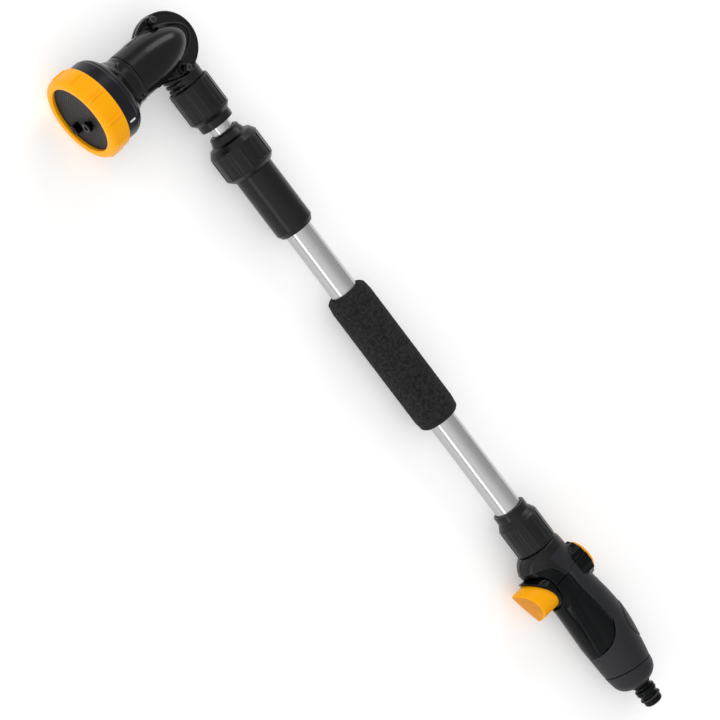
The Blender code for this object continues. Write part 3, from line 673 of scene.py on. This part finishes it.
def bored(body, x, y, z):
    """The body with both button bores."""
    across = np.hypot(x - VALVE, z)
    body = cut(body, drum(y, across, 4.0, 60.0, 17.3, 0.2), 0.4)
    return cut(body, drum(y, across, -60.0, -4.0, 13.6, 0.2), 0.4)


def handle_body(x, y, z):
    """Grip and button bosses, hollow, with both button bores."""
    across = np.hypot(x - VALVE, z)
    body = scooped(x, y, z)
    body = keep(body, x - ends("valve_housing")[1], 0.8)
    lobe = np.sqrt((x + 211.5) ** 2 + (y - 14.0) ** 2 + (z * 0.8) ** 2) - 11.5
    body = join(body, lobe, 1.2)
    body = join(body, drum(y, across, 0.0, 15.5, 18.5, 0.8), 4.5)
    body = join(body, drum(y, ribbed(x, z, 14, 0.3), -23.2, -5.0, 15.4, 0.6), 2.2)
    inside = keep(grip(x, y, z, SKIN + GAP + WALL), x + 209.9, 0.5)
    return bored(cut(body, inside, 0.3), x, y, z)


def seam_plane(x, y):
    """Distance in front of the slanted seam between the valve housing and the grip."""
    return (x - SEAM + SEAM_SLANT * y) / math.hypot(1, SEAM_SLANT)


def cap_plane(x, y):
    """Distance in front of the end cap's slanted seam."""
    return (x - CAP_SEAM) * math.cos(CAP_TILT) - y * math.sin(CAP_TILT)


def housing_field(x, y, z):
    body = keep(handle_body(x, y, z), -seam_plane(x, y), 0.7)
    return cut(body, drum(x, np.hypot(y, z), -230, -190, 9.6, 0.2), 0.3)


def shell_field(x, y, z):
    skin_line = through(SKIN_LINE, round_grip(x, y, z))
    outer = keep(handle_body(x, y, z), skin_line + GAP - x, 0.5)
    core = cut(grip(x, y, z, SKIN + GAP), grip(x, y, z, SKIN + GAP + WALL), 0.3)
    core = keep(core, x + 240, 0.3)
    body = join(outer, bored(core, x, y, z), 0.3)
    split = FINE_GAP + (GAP - FINE_GAP) * ease(y, -16, -12)
    body = keep(body, seam_plane(x, y) + split, 0.8)
    return keep(body, -cap_plane(x, y) + GAP / 2, 0.4)


def soft_field(x, y, z):
    skin_line = through(SKIN_LINE, round_grip(x, y, z))
    pad = np.hypot((x + 292.0) / 17.0, (round_grip(x, y, z) - 180) / 55) - 1
    raised = 0.5 * (1 - ease(pad, -0.03, 0.03)) - 0.35 * np.exp(-(((pad - 0.03) / 0.035) ** 2))
    skin = cut(grip(x, y, z) + 0.3 - raised, grip(x, y, z, SKIN), 0.3)
    skin = keep(skin, x - skin_line + GAP / 2, 0.8)
    return keep(skin, -cap_plane(x, y) + GAP / 2, 0.8)


def cap_field(x, y, z):
    across = np.hypot(y, z)
    cap = keep(grip(x, y, z), cap_plane(x, y) + GAP / 2, 0.9)
    cap = keep(cap, ends("end_cap")[0] - x, 0.8)
    cap = cut(cap, drum(x, across, -331.5, -280, 14.0, 0.3), 0.3)
    return cut(cap, drum(x, across, -360, -325, 8.6, 0.2), 0.4)


def finish_faces(piece):
    """Gives each face its place in (the moulding's own look, matt, glossy)."""
    piece.data.materials.append(MATT_BLACK)
    piece.data.materials.append(LOOKS["gloss_black_plastic"])
    places = np.empty(len(piece.data.polygons) * 3)
    piece.data.polygons.foreach_get("center", places)
    x, y, z = (places.reshape(-1, 3) / MM - ORIGIN).T
    piece.data.polygons.foreach_set("material_index", grip_finish(x, y, z).astype(np.int32))


def bosses(x, y, z):
    """True on the two drums that carry the buttons."""
    across = np.hypot(x - VALVE, z)
    return ((across < 18.8) & (y > 12)) | ((across < 16.6) & (y < -10))


def grip_finish(x, y, z):
    """Matt panels above the hollow, gloss below it and on the bosses."""
    glossy = bosses(x, y, z) | (under(SCOOP_TOP, x, y, z) > 0)
    panel = (x < PANEL_END) & (under(PANEL_LOW, x, y, z) < 0)
    return np.where(glossy, 2, np.where(panel, 1, 0))


def finish_front(piece, look, steepness):
    """Gives the faces that look along +Y a look of their own."""
    piece.data.materials.append(look)
    for face in piece.data.polygons:
        face.material_index = int(face.normal.y > steepness)


def make_grip_pieces():
    housing = add_piece("valve_housing_shell",
                        sculpt(housing_field, (-237, -25, -22), (-198, 28, 22), 0.5), "handle",
                        "valve_housing", "black_plastic")
    shell = add_piece("grip_shell_body",
                      sculpt(shell_field, (-328, -27, -23), (-221, 27, 23), 0.55), "handle",
                      "grip_shell", "black_plastic", LOOKS["gloss_black_plastic"])
    finish_faces(housing)
    finish_faces(shell)
    add_piece("soft_grip_skin", sculpt(soft_field, (-328, -27, -23), (-248, 24, 23), 0.6), "handle",
              "soft_grip", "soft_grip_rubber")
    add_piece("end_cap_moulding", sculpt(cap_field, (-340, -22, -21), (-315, 22, 21), 0.55),
              "handle", "end_cap", "soft_grip_rubber")


# ---------------------------------------------------------------- buttons


def collar_field(x, y, z):
    across = np.hypot(x - VALVE, z)
    slant = math.radians(20)
    rim = (y - 24.6) * math.cos(slant) - (x - VALVE) * math.sin(slant) + 0.018 * z**2
    outer = drum(y, ribbed(x, z, 16, 0.18 * ease(rim, -9, -2.5)), 4.4, 38, 16.8, 0.4)
    lip = np.hypot(np.maximum(np.abs(rim + 1.0) - 0.6, 0), across - 16.6) - 0.5
    body = keep(join(outer, lip, 0.6), rim, 0.8)
    body = cut(body, drum(y, across, 0, 60, 15.0, 0.2), 0.5)
    return cut(body, drum(x, np.hypot(y, z), -245, -190, 9.6, 0.2), 0.3)


def front_button_field(x, y, z):
    across = np.hypot(x - VALVE, z)
    slope, gable = math.radians(11), math.radians(17)
    body = drum(y, across, 17.6, 50, 14.6, 0.5)
    rise = (y - 39.7) * math.cos(slope) - (x - VALVE) * math.sin(slope)
    roof = (rise + np.abs(z) * math.tan(gable)) * math.cos(gable)
    body = keep(body, roof, 1.3)
    hollow = drum(y, across, 0, 31, 12.4, 0.4)
    stem = drum(y, across, 20.8, 34, 5.6, 0.3)
    body = cut(body, cut(hollow, stem, 0.3), 0.3)
    return cut(body, drum(y, across, 0, 30, 3.9, 0.2), 0.3)


def make_buttons():
    cap = add_piece("front_button_cap",
                    sculpt(front_button_field, (-247, 16, -16), (-214, 46, 16), 0.5), "valve",
                    "front_button", "yellow_plastic")
    # Faces looking along +Y get the darker orange: painted shade on the button's end face.
    finish_front(cap, BUTTON_FACE_PAINTED_SHADE, 0.88)
    add_piece("button_collar_ring", sculpt(collar_field, (-249, 6, -18.5), (-212, 34, 18.5), 0.45),
              "handle", "button_collar", "gloss_black_plastic")
    end = ends("rear_button", 1)[0]
    corners = [
        (end + 0.7, 0.0), (end + 0.5, 8.0, 2.0), (end, 12.0, 1.2), (end + 1.0, 13.3, 1.0),
        (end + 14.2, 13.3, 0.4), (end + 14.2, 11.2, 0.4), (end + 2.0, 11.2, 0.6), (end + 2.0, 0.0),
    ]
    add_piece("rear_button_cap", lathe(corners, "Y", (VALVE, 0), 128), "valve", "rear_button",
              "yellow_plastic")


# ---------------------------------------------------------------- elbow


def elbow_field(x, y, z):
    across = np.hypot(x - PIVOT, y)
    body = drum(z, across, -17, 6.0, 15.9, 2.6)
    body = join(body, drum(z, across, 6.0, 8.4, 18.7, 0.3), 0.4)
    bore = np.hypot(y, z)
    teeth = np.cos(2 * math.pi * (x - 256.3) / 4.3)
    depth = 0.15 + 2.6 * ease(y, 7.5, 11.5)
    groove = depth * ease(-teeth, -0.1, 0.3) * ease(x, 244.5, 245.5) * (1 - ease(x, 257.5, 258.5))
    neck = drum(x, bore + groove, 234.5, 259, 15.0, 0.4)
    neck = join(neck, drum(x, bore, 250, 276, 13.0, 0.5), 1.2)
    neck = cut(neck, drum(z, across, 4.2, 30, 25.9, 0.2), 0.3)
    body = join(body, neck, 1.6)
    body = cut(body, drum(z, across, -11, 30, 11.6, 0.3), 0.3)
    body = cut(body, drum(x, bore, 220, 243.3, 9.0, 0.2), 0.3)
    body = cut(body, drum(x, bore, 220, 256, 7.4, 0.2), 0.3)
    return cut(body, drum(x, np.hypot(y, z + 4.2), 250, 272, 5.4, 0.2), 0.3)


def screw_shaft(x, y, z, side, start, end, radius=1.5):
    """Distance to the shaft of one flange screw, from the pivot's axis."""
    return drum(z, np.hypot(x - SCREW_REACH * side, y), start, end, radius, 0.1)


def retainer_field(x, y, z):
    across = np.hypot(x - PIVOT, y)
    body = drum(z, across, 4.5, 8.7, 25.6, 0.9)
    body = cut(body, drum(z, across, 0, 30, 16.3, 0.2), 0.4)
    body = cut(body, drum(z, across, 5.7, 30, 19.1, 0.2), 0.3)
    for side in (-1, 1):
        body = cut(body, screw_shaft(x - PIVOT, y, z, side, 0, 30), 0.2)
    return body


# ---------------------------------------------------------------- head


def dome_plan(x, y, half, centre, length):
    """Distance to an arch seen from above: straight sides and a long round end."""
    behind = np.minimum(y - centre, 0)
    size = np.maximum(np.hypot(x / half, behind / length), 1e-6)
    slope = np.hypot(x / half**2, behind / length**2) / size
    return (size - 1) / np.maximum(slope, 0.01)


def dome(x, y, z, half, centre, length):
    behind = np.minimum(y - centre, 0)
    size = np.maximum(np.sqrt((x / half) ** 2 + (behind / length) ** 2 + (z / half) ** 2), 1e-6)
    slope = np.sqrt((x / half**2) ** 2 + (behind / length**2) ** 2 + (z / half**2) ** 2) / size
    return (size - 1) / np.maximum(slope, 0.01)


def arm_field(x, y, z):
    x = x - PIVOT
    across = np.hypot(x, y)
    crown = z - SHOWER
    tube = keep(dome(x - 0.5, y, crown, 19.7, 27.0, 42.2), y - 42.5, 0.6)
    lift = 16.2 + 0.1 * np.maximum(y + 8, 0)
    ledge = dome_plan(x - 0.5, y, 19.8, 27.0, 47.2)
    ledge = keep(keep(ledge, np.abs(z - lift / 2 - 6) - lift / 2 + 6, 0.6), y - 30, 2.0)
    bead = np.hypot(dome_plan(x - 0.5, y, 18.8, 27.0, 46.2), z - lift) - 1.0
    body = join(tube, join(ledge, keep(bead, y - 16, 1.5), 0.5), 0.5)
    body = cut(body, drum(z, across, -60, 9.6, 25.9, 0.2), 0.2)
    disc = drum(z, across, 9.0, 13.2, 25.6, 1.1)
    disc = cut(disc, drum(z, across, 12.55, 30, 23.6, 0.3), 0.5)
    body = join(body, disc, 1.0)
    for side in (-1, 1):
        post = np.hypot(x - SCREW_REACH * side, y)
        ring = drum(z, post, 12, 18.2, 3.3, 0.5)
        ring = cut(ring, block(x - 25 * side, y - 2.6, z - 18, (2.2, 1.6, 4.0), 0.2), 0.3)
        body = join(body, ring, 0.8)
        slot = block(x - 15.4 * side, y - 2.6, z - 24, (0.75, 2.1, 14), 0.3)
        body = cut(body, keep(slot, -1.4 - tube, 0.2), 0.3)
    body = join(body, drum(z, across, -8, 12, 11.2, 0.4), 0.5)
    groove = np.maximum(np.abs(z + 4.0) - 1.0, 9.9 - across)
    body = cut(body, groove, 0.2)
    hollow = dome(x, y, crown, 17.5, 27.0, 39.6)
    hollow = keep(hollow, 11.5 - z + np.maximum(0, across - 27) * 3, 0.5)
    body = cut(body, hollow, 0.3)
    for side in (-1, 1):
        body = cut(body, screw_shaft(x, y, z, side, -30, 40), 0.2)
    return cut(body, drum(z, across, -20, 14, 8.5, 0.2), 0.3)


def screw_field(side):
    def field(x, y, z):
        x = x - PIVOT - SCREW_REACH * side
        across = np.hypot(x, y)
        head = drum(z, across, 18.5, 21.0, 2.7, 0.8)
        slot = block(x, y, z - 20.8, (1.7, 0.36, 0.9), 0.1)
        cross = block(x, y, z - 20.8, (0.36, 1.7, 0.9), 0.1)
        head = cut(head, np.minimum(slot, cross), 0.15)
        return join(head, drum(z, across, 5.2, 19, 1.2, 0.2), 0.2)

    return field


def make_elbow_and_arm():
    add_piece("elbow_housing_body", sculpt(elbow_field, (233, -20, -18), (300, 20, 16), 0.5),
              "lance_tube", "elbow_housing", "black_plastic")
    add_piece("pivot_retainer_ring", sculpt(retainer_field, (253, -27, 3.5), (307, 27, 9.7), 0.5),
              "head", "pivot_retainer", "black_plastic")
    add_piece("head_arm_body", sculpt(arm_field, (253, -27, -9.5), (307, 44, 36.5), 0.5), "head",
              "head_arm", "black_plastic", POLISHED_BLACK)
    for name, side in (("head_end", 1), ("lance_end", -1)):
        x = PIVOT + SCREW_REACH * side
        low, high = (x - 3.5, -3.5, 4.5), (x + 3.5, 3.5, 21.8)
        add_piece(f"pan_head_screw_{name}", sculpt(screw_field(side), low, high, 0.2), "head",
                  f"flange_screw_{name}", "steel")


def make_head_bell():
    start, end = ends("head_bell", 1)
    seam = start + 6.8
    corners = [
        (start, 15.2, 0.2), (start, 17.2, 0.3), (seam, 17.2, 0.2), (seam, 19.8, 0.5),
        (seam + 5, 20.0, 3.0), (seam + 12.5, 23.6, 6.0), (seam + 18.3, 30.9, 3.0),
        (seam + 20.8, 32.4, 0.5), (seam + 21.6, 32.3, 0.2), (seam + 23.5, 33.3, 0.8),
        (seam + 33.2, 33.3, 0.3), (seam + 33.8, 32.8, 0.2), (seam + 35.0, 32.8, 0.2),
        (seam + 35.6, 33.3, 0.2), (end, 33.3, 0.4), (end, 31.0, 0.3), (seam + 21.2, 30.0, 1.0),
        (seam + 12, 21.0, 3.0), (seam + 6, 17.0, 1.5),
    ]

    def swell(along, turn, radius):
        angle = np.degrees(np.abs(np.mod(turn + math.pi, 2 * math.pi) - math.pi))
        oval = np.hypot(angle / 58, (along - seam - 1.5) / 11.5)
        window = (1 - ease(oval, 0.9, 1.02)) * ease(along, seam + 1.2, seam + 2.0)
        sunk = np.maximum(radius - 18.9, 0) * window
        return np.where(radius > 19.5, radius - sunk, radius)

    shape = lathe(corners, "Y", (PIVOT, SHOWER), 360, 0.6, swell, 7)
    piece = add_piece("head_bell_body", shape, "head", "head_bell", "black_plastic", POLISHED_BLACK)
    piece.data.materials.append(RIM_BLACK)
    rim = (seam + 21.2 + ORIGIN[1]) * MM
    for face in piece.data.polygons:
        if face.center.y > rim:
            face.material_index = 1


def make_index_mark():
    turn = math.radians(38)
    radius = 33.3

    def field(x, y, z):
        x, z = x - PIVOT, z - SHOWER
        side = x * math.cos(turn) + z * math.sin(turn)
        out = -x * math.sin(turn) + z * math.cos(turn)
        return block(side, y - 71, out - radius - 0.55, (0.8, 2.5, 0.25), 0.2)

    spot = np.array((PIVOT - math.sin(turn) * 34, 71, SHOWER + math.cos(turn) * 34))
    add_piece("index_tick", sculpt(field, spot - 3.4, spot + 3.4, 0.14), "head", "index_mark",
              "white_plastic")


# ---------------------------------------------------------------- bezel and spray face


def make_bezel():
    back, front = ends("bezel_ring", 1)
    outer, mouth, bar = 35.1, 27.8, 0.85
    corners = [
        (back, 33.7, 0.2), (back, 34.9, 0.9), (back + 1.6, outer, 1.2),
        (front - 4.2, outer - 0.1, 2.0), (front - 1.2, outer - 1.1, 2.0),
        (front, outer - 3.4, 1.2), (front - 0.1, mouth + 0.9, 0.8), (front - 0.8, mouth, 0.6),
        (front - 3.4, mouth + 0.5, 0.2), (front - 3.4, 33.7, 0.2),
    ]
    pitch = math.radians(36)

    def swell(along, turn, radius):
        local = (np.mod(turn, pitch) - pitch / 2) * radius
        groove = 0.4 * np.exp(-(((np.abs(local) - 1.5) / 0.35) ** 2))
        across = 1 - ease(np.abs(local), 0.8, 1.05) - groove
        length = ease(along, back + 2.2, back + 3.0) * (1 - ease(along, front - 3.4, front - 2.0))
        return np.where(radius > 34.2, radius + bar * across * length, radius)

    shape = lathe(corners, "Y", (PIVOT, SHOWER), 720, 0.5, swell, 7)
    add_piece("bezel_shell", shape, "bezel", "bezel_ring", "yellow_plastic")


JET = (-8.0, -4.4)
FAN = (-5.9, -20.5)
FIRST_RING = 3.5
RING_COUNT = 15


def dish_front(radius):
    """Where the dish's concave front lies along Y."""
    return 85.4 + 5.0 * (radius / 31.0) ** 2


def make_spray_face():
    """A dish with rings of small pits, round a jet outlet, a window and a fan outlet."""
    builder = bmesh.new()
    pitch, pit = 1.75, 0.42
    loops = []
    for i in range(RING_COUNT):
        radius = FIRST_RING + pitch * i
        count = max(8, round(2 * math.pi * radius / pitch))
        low = dish_ring(builder, radius - pitch * 0.42, 2 * count)
        high = dish_ring(builder, radius + pitch * 0.42, 2 * count)
        middles = [dish_vertex(builder, radius, 2 * math.pi * k / count) for k in range(count)]
        for k in range(count):
            dish_cell(builder, low, high, middles, k, count, radius, pit)
        loops.append((low, high))
    for (_, inner), (outer, _) in zip(loops, loops[1:]):
        bridge(builder, inner, outer)
    last = loops[-1][1]
    for radius, depth in ((31.5, 0.0), (33.3, 0.0), (33.3, 3.4), (20.0, 3.2)):
        ring = dish_ring(builder, radius, 120, depth)
        bridge(builder, last, ring)
        last = ring
    for ring, depth in ((loops[0][0], 0.0), (last, 3.0)):
        hub = dish_vertex(builder, 0, 0, depth)
        for a, b in zip(ring, ring[1:] + ring[:1]):
            builder.faces.new((hub, a, b))
    bmesh.ops.recalc_face_normals(builder, faces=builder.faces)
    mesh = bpy.data.meshes.new("dish")
    builder.to_mesh(mesh)
    builder.free()
    return mesh


def dish_vertex(builder, radius, turn, depth=0.0):
    y = dish_front(radius) - depth
    return builder.verts.new((-radius * math.sin(turn), y, radius * math.cos(turn)))


def dish_ring(builder, radius, count, depth=0.0):
    """Points round the dish, the first half a step before its cell's middle."""
    return [dish_vertex(builder, radius, 2 * math.pi * k / count, depth) for k in range(count)]


def dish_cell(builder, low, high, middles, k, count, radius, pit):
    """One cell of a ring: a round pit in a square field, from turn k to turn k + 1."""
    a, b, c = 2 * k, 2 * k + 1, (2 * k + 2) % (2 * count)
    after = middles[(k + 1) % count]
    border = [low[a], low[b], low[c], after, high[c], high[b], high[a], middles[k]]
    turn = 2 * math.pi * (k + 0.5) / count
    lips, floors = [], []
    for i in range(8):
        spin = math.pi * (5 / 4 + i / 4)
        at_radius = radius + pit * math.sin(spin)
        at_turn = turn + pit * math.cos(spin) / radius
        lips.append(dish_vertex(builder, at_radius, at_turn))
        floors.append(dish_vertex(builder, at_radius, at_turn, 0.7))
    for i in range(8):
        j = (i + 1) % 8
        builder.faces.new((border[i], border[j], lips[j], lips[i]))
        builder.faces.new((lips[i], lips[j], floors[j], floors[i]))
    builder.faces.new(floors)


def bridge(builder, inner, outer):
    """Triangles between two rings of different counts that start at the same turn."""
    i = j = 0
    while i < len(inner) or j < len(outer):
        a, b = inner[i % len(inner)], outer[j % len(outer)]
        if j >= len(outer) or (i < len(inner) and (i + 1) / len(inner) <= (j + 1) / len(outer)):
            builder.faces.new((a, inner[(i + 1) % len(inner)], b))
            i += 1
        else:
            builder.faces.new((a, b, outer[(j + 1) % len(outer)]))
            j += 1


def window_field(x, y, z):
    """Everything that is cut out of the dish."""
    x, z = x - PIVOT, z - SHOWER
    jet = drum(y, np.hypot(x - JET[0], z - JET[1]), 80, 95, 3.0, 0.1)
    window = block(x - JET[0] + 0.4, y - 89, z - JET[1] - 7.2, (4.1, 4.6, 2.3), 0.3)
    fan = block(x - FAN[0], y - 88, z - FAN[1], (4.2, 10, 3.2), 0.3)
    return np.minimum(np.minimum(jet, window), fan)


def add_spray_face():
    mesh = make_spray_face()
    centre = Vector(ORIGIN) + Vector((PIVOT, 0, SHOWER))
    mesh.transform(Matrix.Scale(MM, 4) @ Matrix.Translation(centre))
    mesh.materials.append(LOOKS["grey_plastic"])
    plate = add_object("spray_plate", mesh)
    windows = sculpt(window_field, (268, 79, -12), (280, 99, 19.5), 0.35)
    cutter = add_object("spray_plate_windows", make_mesh("spray_plate_windows", windows))
    boolean = plate.modifiers.new("windows", "BOOLEAN")
    boolean.solver = "EXACT"
    boolean.object = cutter
    graph = bpy.context.evaluated_depsgraph_get()
    cut_mesh = bpy.data.meshes.new_from_object(plate.evaluated_get(graph))
    plate.modifiers.clear()
    plate.data = cut_mesh
    bpy.data.objects.remove(cutter)
    cut_mesh.shade_smooth()
    cut_mesh.set_sharp_from_angle(angle=math.radians(40))
    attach(plate, "bezel")
    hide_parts("spray_face")


def make_nozzles():
    start, end = ends("jet_nozzle", 1)
    corners = [
        (start, 1.2, 0.1), (start, 2.7, 0.2), (end - 3.6, 2.7, 0.2), (end - 3.6, 4.3, 0.3),
        (end - 0.5, 4.3, 0.6), (end, 3.6, 0.3), (end, 1.9, 0.4), (end - 2.6, 1.5, 0.1),
    ]
    centre = (PIVOT + JET[0], SHOWER + JET[1])
    jet = add_piece("jet_outlet", lathe(corners, "Y", centre, 64), "bezel", "jet_nozzle",
                    "gloss_black_plastic")
    finish_front(jet, LOOKS["grey_plastic"], 0.6)

    def fan(x, y, z):
        x, z = x - PIVOT - FAN[0], z - SHOWER - FAN[1]
        body = block(x, y - 88.9, z, (3.9, 4.3, 2.9), 1.0)
        nose = np.hypot(np.maximum(np.abs(x) - 2.4, 0), np.hypot(y - 90.6, z - 0.4)) - 2.3
        body = join(body, keep(nose, y - 93.2, 0.2), 0.5)
        body = cut(body, block(x, y - 92, z, (2.7, 3.0, 0.6), 0.2), 0.3)
        return keep(body, block(x, y - 88.9, z, (3.9, 4.3, 2.9), 0.4), 0.2)

    x, z = PIVOT + FAN[0], SHOWER + FAN[1]
    add_piece("fan_outlet", sculpt(fan, (x - 4.6, 84, z - 3.6), (x + 4.6, 94, z + 3.6), 0.2),
              "bezel", "fan_nozzle", "gloss_black_plastic")


# ---------------------------------------------------------------- carried-over pieces


def dress_cad_nodes():
    """Gives each CAD node that stays in view, or inside, the look of its material slot."""
    slots = {part["node"]: part["material_slot"] for part in frame["record"]["subparts"]}
    for name, node in frame["nodes"].items():
        node.data.materials.clear()
        node.data.materials.append(LOOKS[slots.get(name, "inner_plastic")])


# ---------------------------------------------------------------- camera, lights and floor

AIM = np.array((0.0, 19.9, -8.92))
TOWARDS_CAMERA = Vector((0.225, 0.3987, 0.889)).normalized()
LANCE_SLOPE = math.radians(52.8)
DISTANCE = 3000.0


def camera_axes():
    """Right, up and back of a camera that shows the lance falling to the right by its slope."""
    along = Vector((-1, 0, 0))
    along = (along - along.dot(TOWARDS_CAMERA) * TOWARDS_CAMERA).normalized()
    across = TOWARDS_CAMERA.cross(along)
    right = math.cos(LANCE_SLOPE) * along + math.sin(LANCE_SLOPE) * across
    up = -math.sin(LANCE_SLOPE) * along + math.cos(LANCE_SLOPE) * across
    return right, up, TOWARDS_CAMERA


def make_camera():
    right, up, back = camera_axes()
    data = bpy.data.cameras.new("camera")
    data.lens = 198.97
    data.sensor_width = 36
    data.clip_end = 20
    camera = add_object("camera", data)
    spot = Vector((AIM + ORIGIN) * MM) + back * DISTANCE * MM
    camera.matrix_world = Matrix.Translation(spot) @ Matrix((right, up, back)).transposed().to_4x4()
    bpy.context.scene.camera = camera


def make_light(name, first, last, distance, height, radiance):
    """A softbox facing the wand, from one (azimuth, elevation) to another."""
    tips = []
    for azimuth, elevation in (first, last):
        turn, rise = math.radians(azimuth), math.radians(elevation)
        flat = math.cos(rise)
        place = Vector((flat * math.cos(turn), flat * math.sin(turn), math.sin(rise)))
        tips.append(distance * place)
    along = tips[1] - tips[0]
    away = (tips[0] + tips[1]).normalized()
    axes = Matrix((along.normalized(), away.cross(along.normalized()), away)).transposed()
    data = bpy.data.lights.new(name, "AREA")
    data.shape = "RECTANGLE"
    data.size, data.size_y = along.length, height
    data.energy = radiance * math.pi * along.length * height
    light = add_object(name, data)
    light.matrix_world = Matrix.Translation((tips[0] + tips[1]) / 2) @ axes.to_4x4()


def shade_sky(tree):
    """A studio tent, dim on the palm side and bright above the finger side."""
    place = tree.nodes.new("ShaderNodeTexCoord").outputs["Generated"]
    parts = tree.nodes.new("ShaderNodeSeparateXYZ")
    lean = tree.nodes.new("ShaderNodeMath")
    lean.operation = "ARCTAN2"
    share = tree.nodes.new("ShaderNodeMapRange")
    share.inputs["From Min"].default_value = -math.pi / 2
    share.inputs["From Max"].default_value = math.pi / 2
    ramp = tree.nodes.new("ShaderNodeValToRGB")
    fill_ramp(ramp, ((0.0, 0.5), (0.36, 0.64), (0.5, 0.86), (0.72, 1.15), (0.86, 0.8), (1.0, 0.45)))
    for source, target in (
        (place, parts.inputs["Vector"]),
        (parts.outputs["Y"], lean.inputs[0]),
        (parts.outputs["Z"], lean.inputs[1]),
        (lean.outputs["Value"], share.inputs["Value"]),
        (share.outputs["Result"], ramp.inputs["Fac"]),
        (ramp.outputs["Color"], tree.nodes["Background"].inputs["Color"]),
    ):
        tree.links.new(source, target)


def make_studio():
    world = bpy.data.worlds.new("studio")
    world.use_nodes = True
    shade_sky(world.node_tree)
    bpy.context.scene.world = world
    make_light("finger_side_softbox", (58, 17.5), (122, 17.5), 2.7, 0.5, 2.8)
    make_light("head_side_softbox", (-68, 15), (-28, 35), 2.6, 0.75, 3.4)
    look = Look("pale_floor")
    look.ramp(look.noise(60.0, 2.0), [(0.3, 0.86), (0.7, 0.88)], "Base Color")
    look.set(Roughness=0.8, Emission_Color=(1, 1, 1, 1), Emission_Strength=0.25)
    builder = bmesh.new()
    bmesh.ops.create_grid(builder, x_segments=8, y_segments=8, size=4.0)
    mesh = bpy.data.meshes.new("floor")
    builder.to_mesh(mesh)
    builder.free()
    mesh.materials.append(look.material)
    floor = add_object("floor", mesh)
    bpy.context.scene.view_settings.view_transform = "Standard"


dress_cad_nodes()
make_handle_nut()
make_lock_nut()
make_elbow_nut()
make_lock_sleeve()
make_tubes()
make_foam_grip()
make_hose_nipple()
make_grip_pieces()
make_buttons()
make_elbow_and_arm()
make_head_bell()
make_index_mark()
make_bezel()
add_spray_face()
make_nozzles()
make_camera()
make_studio()
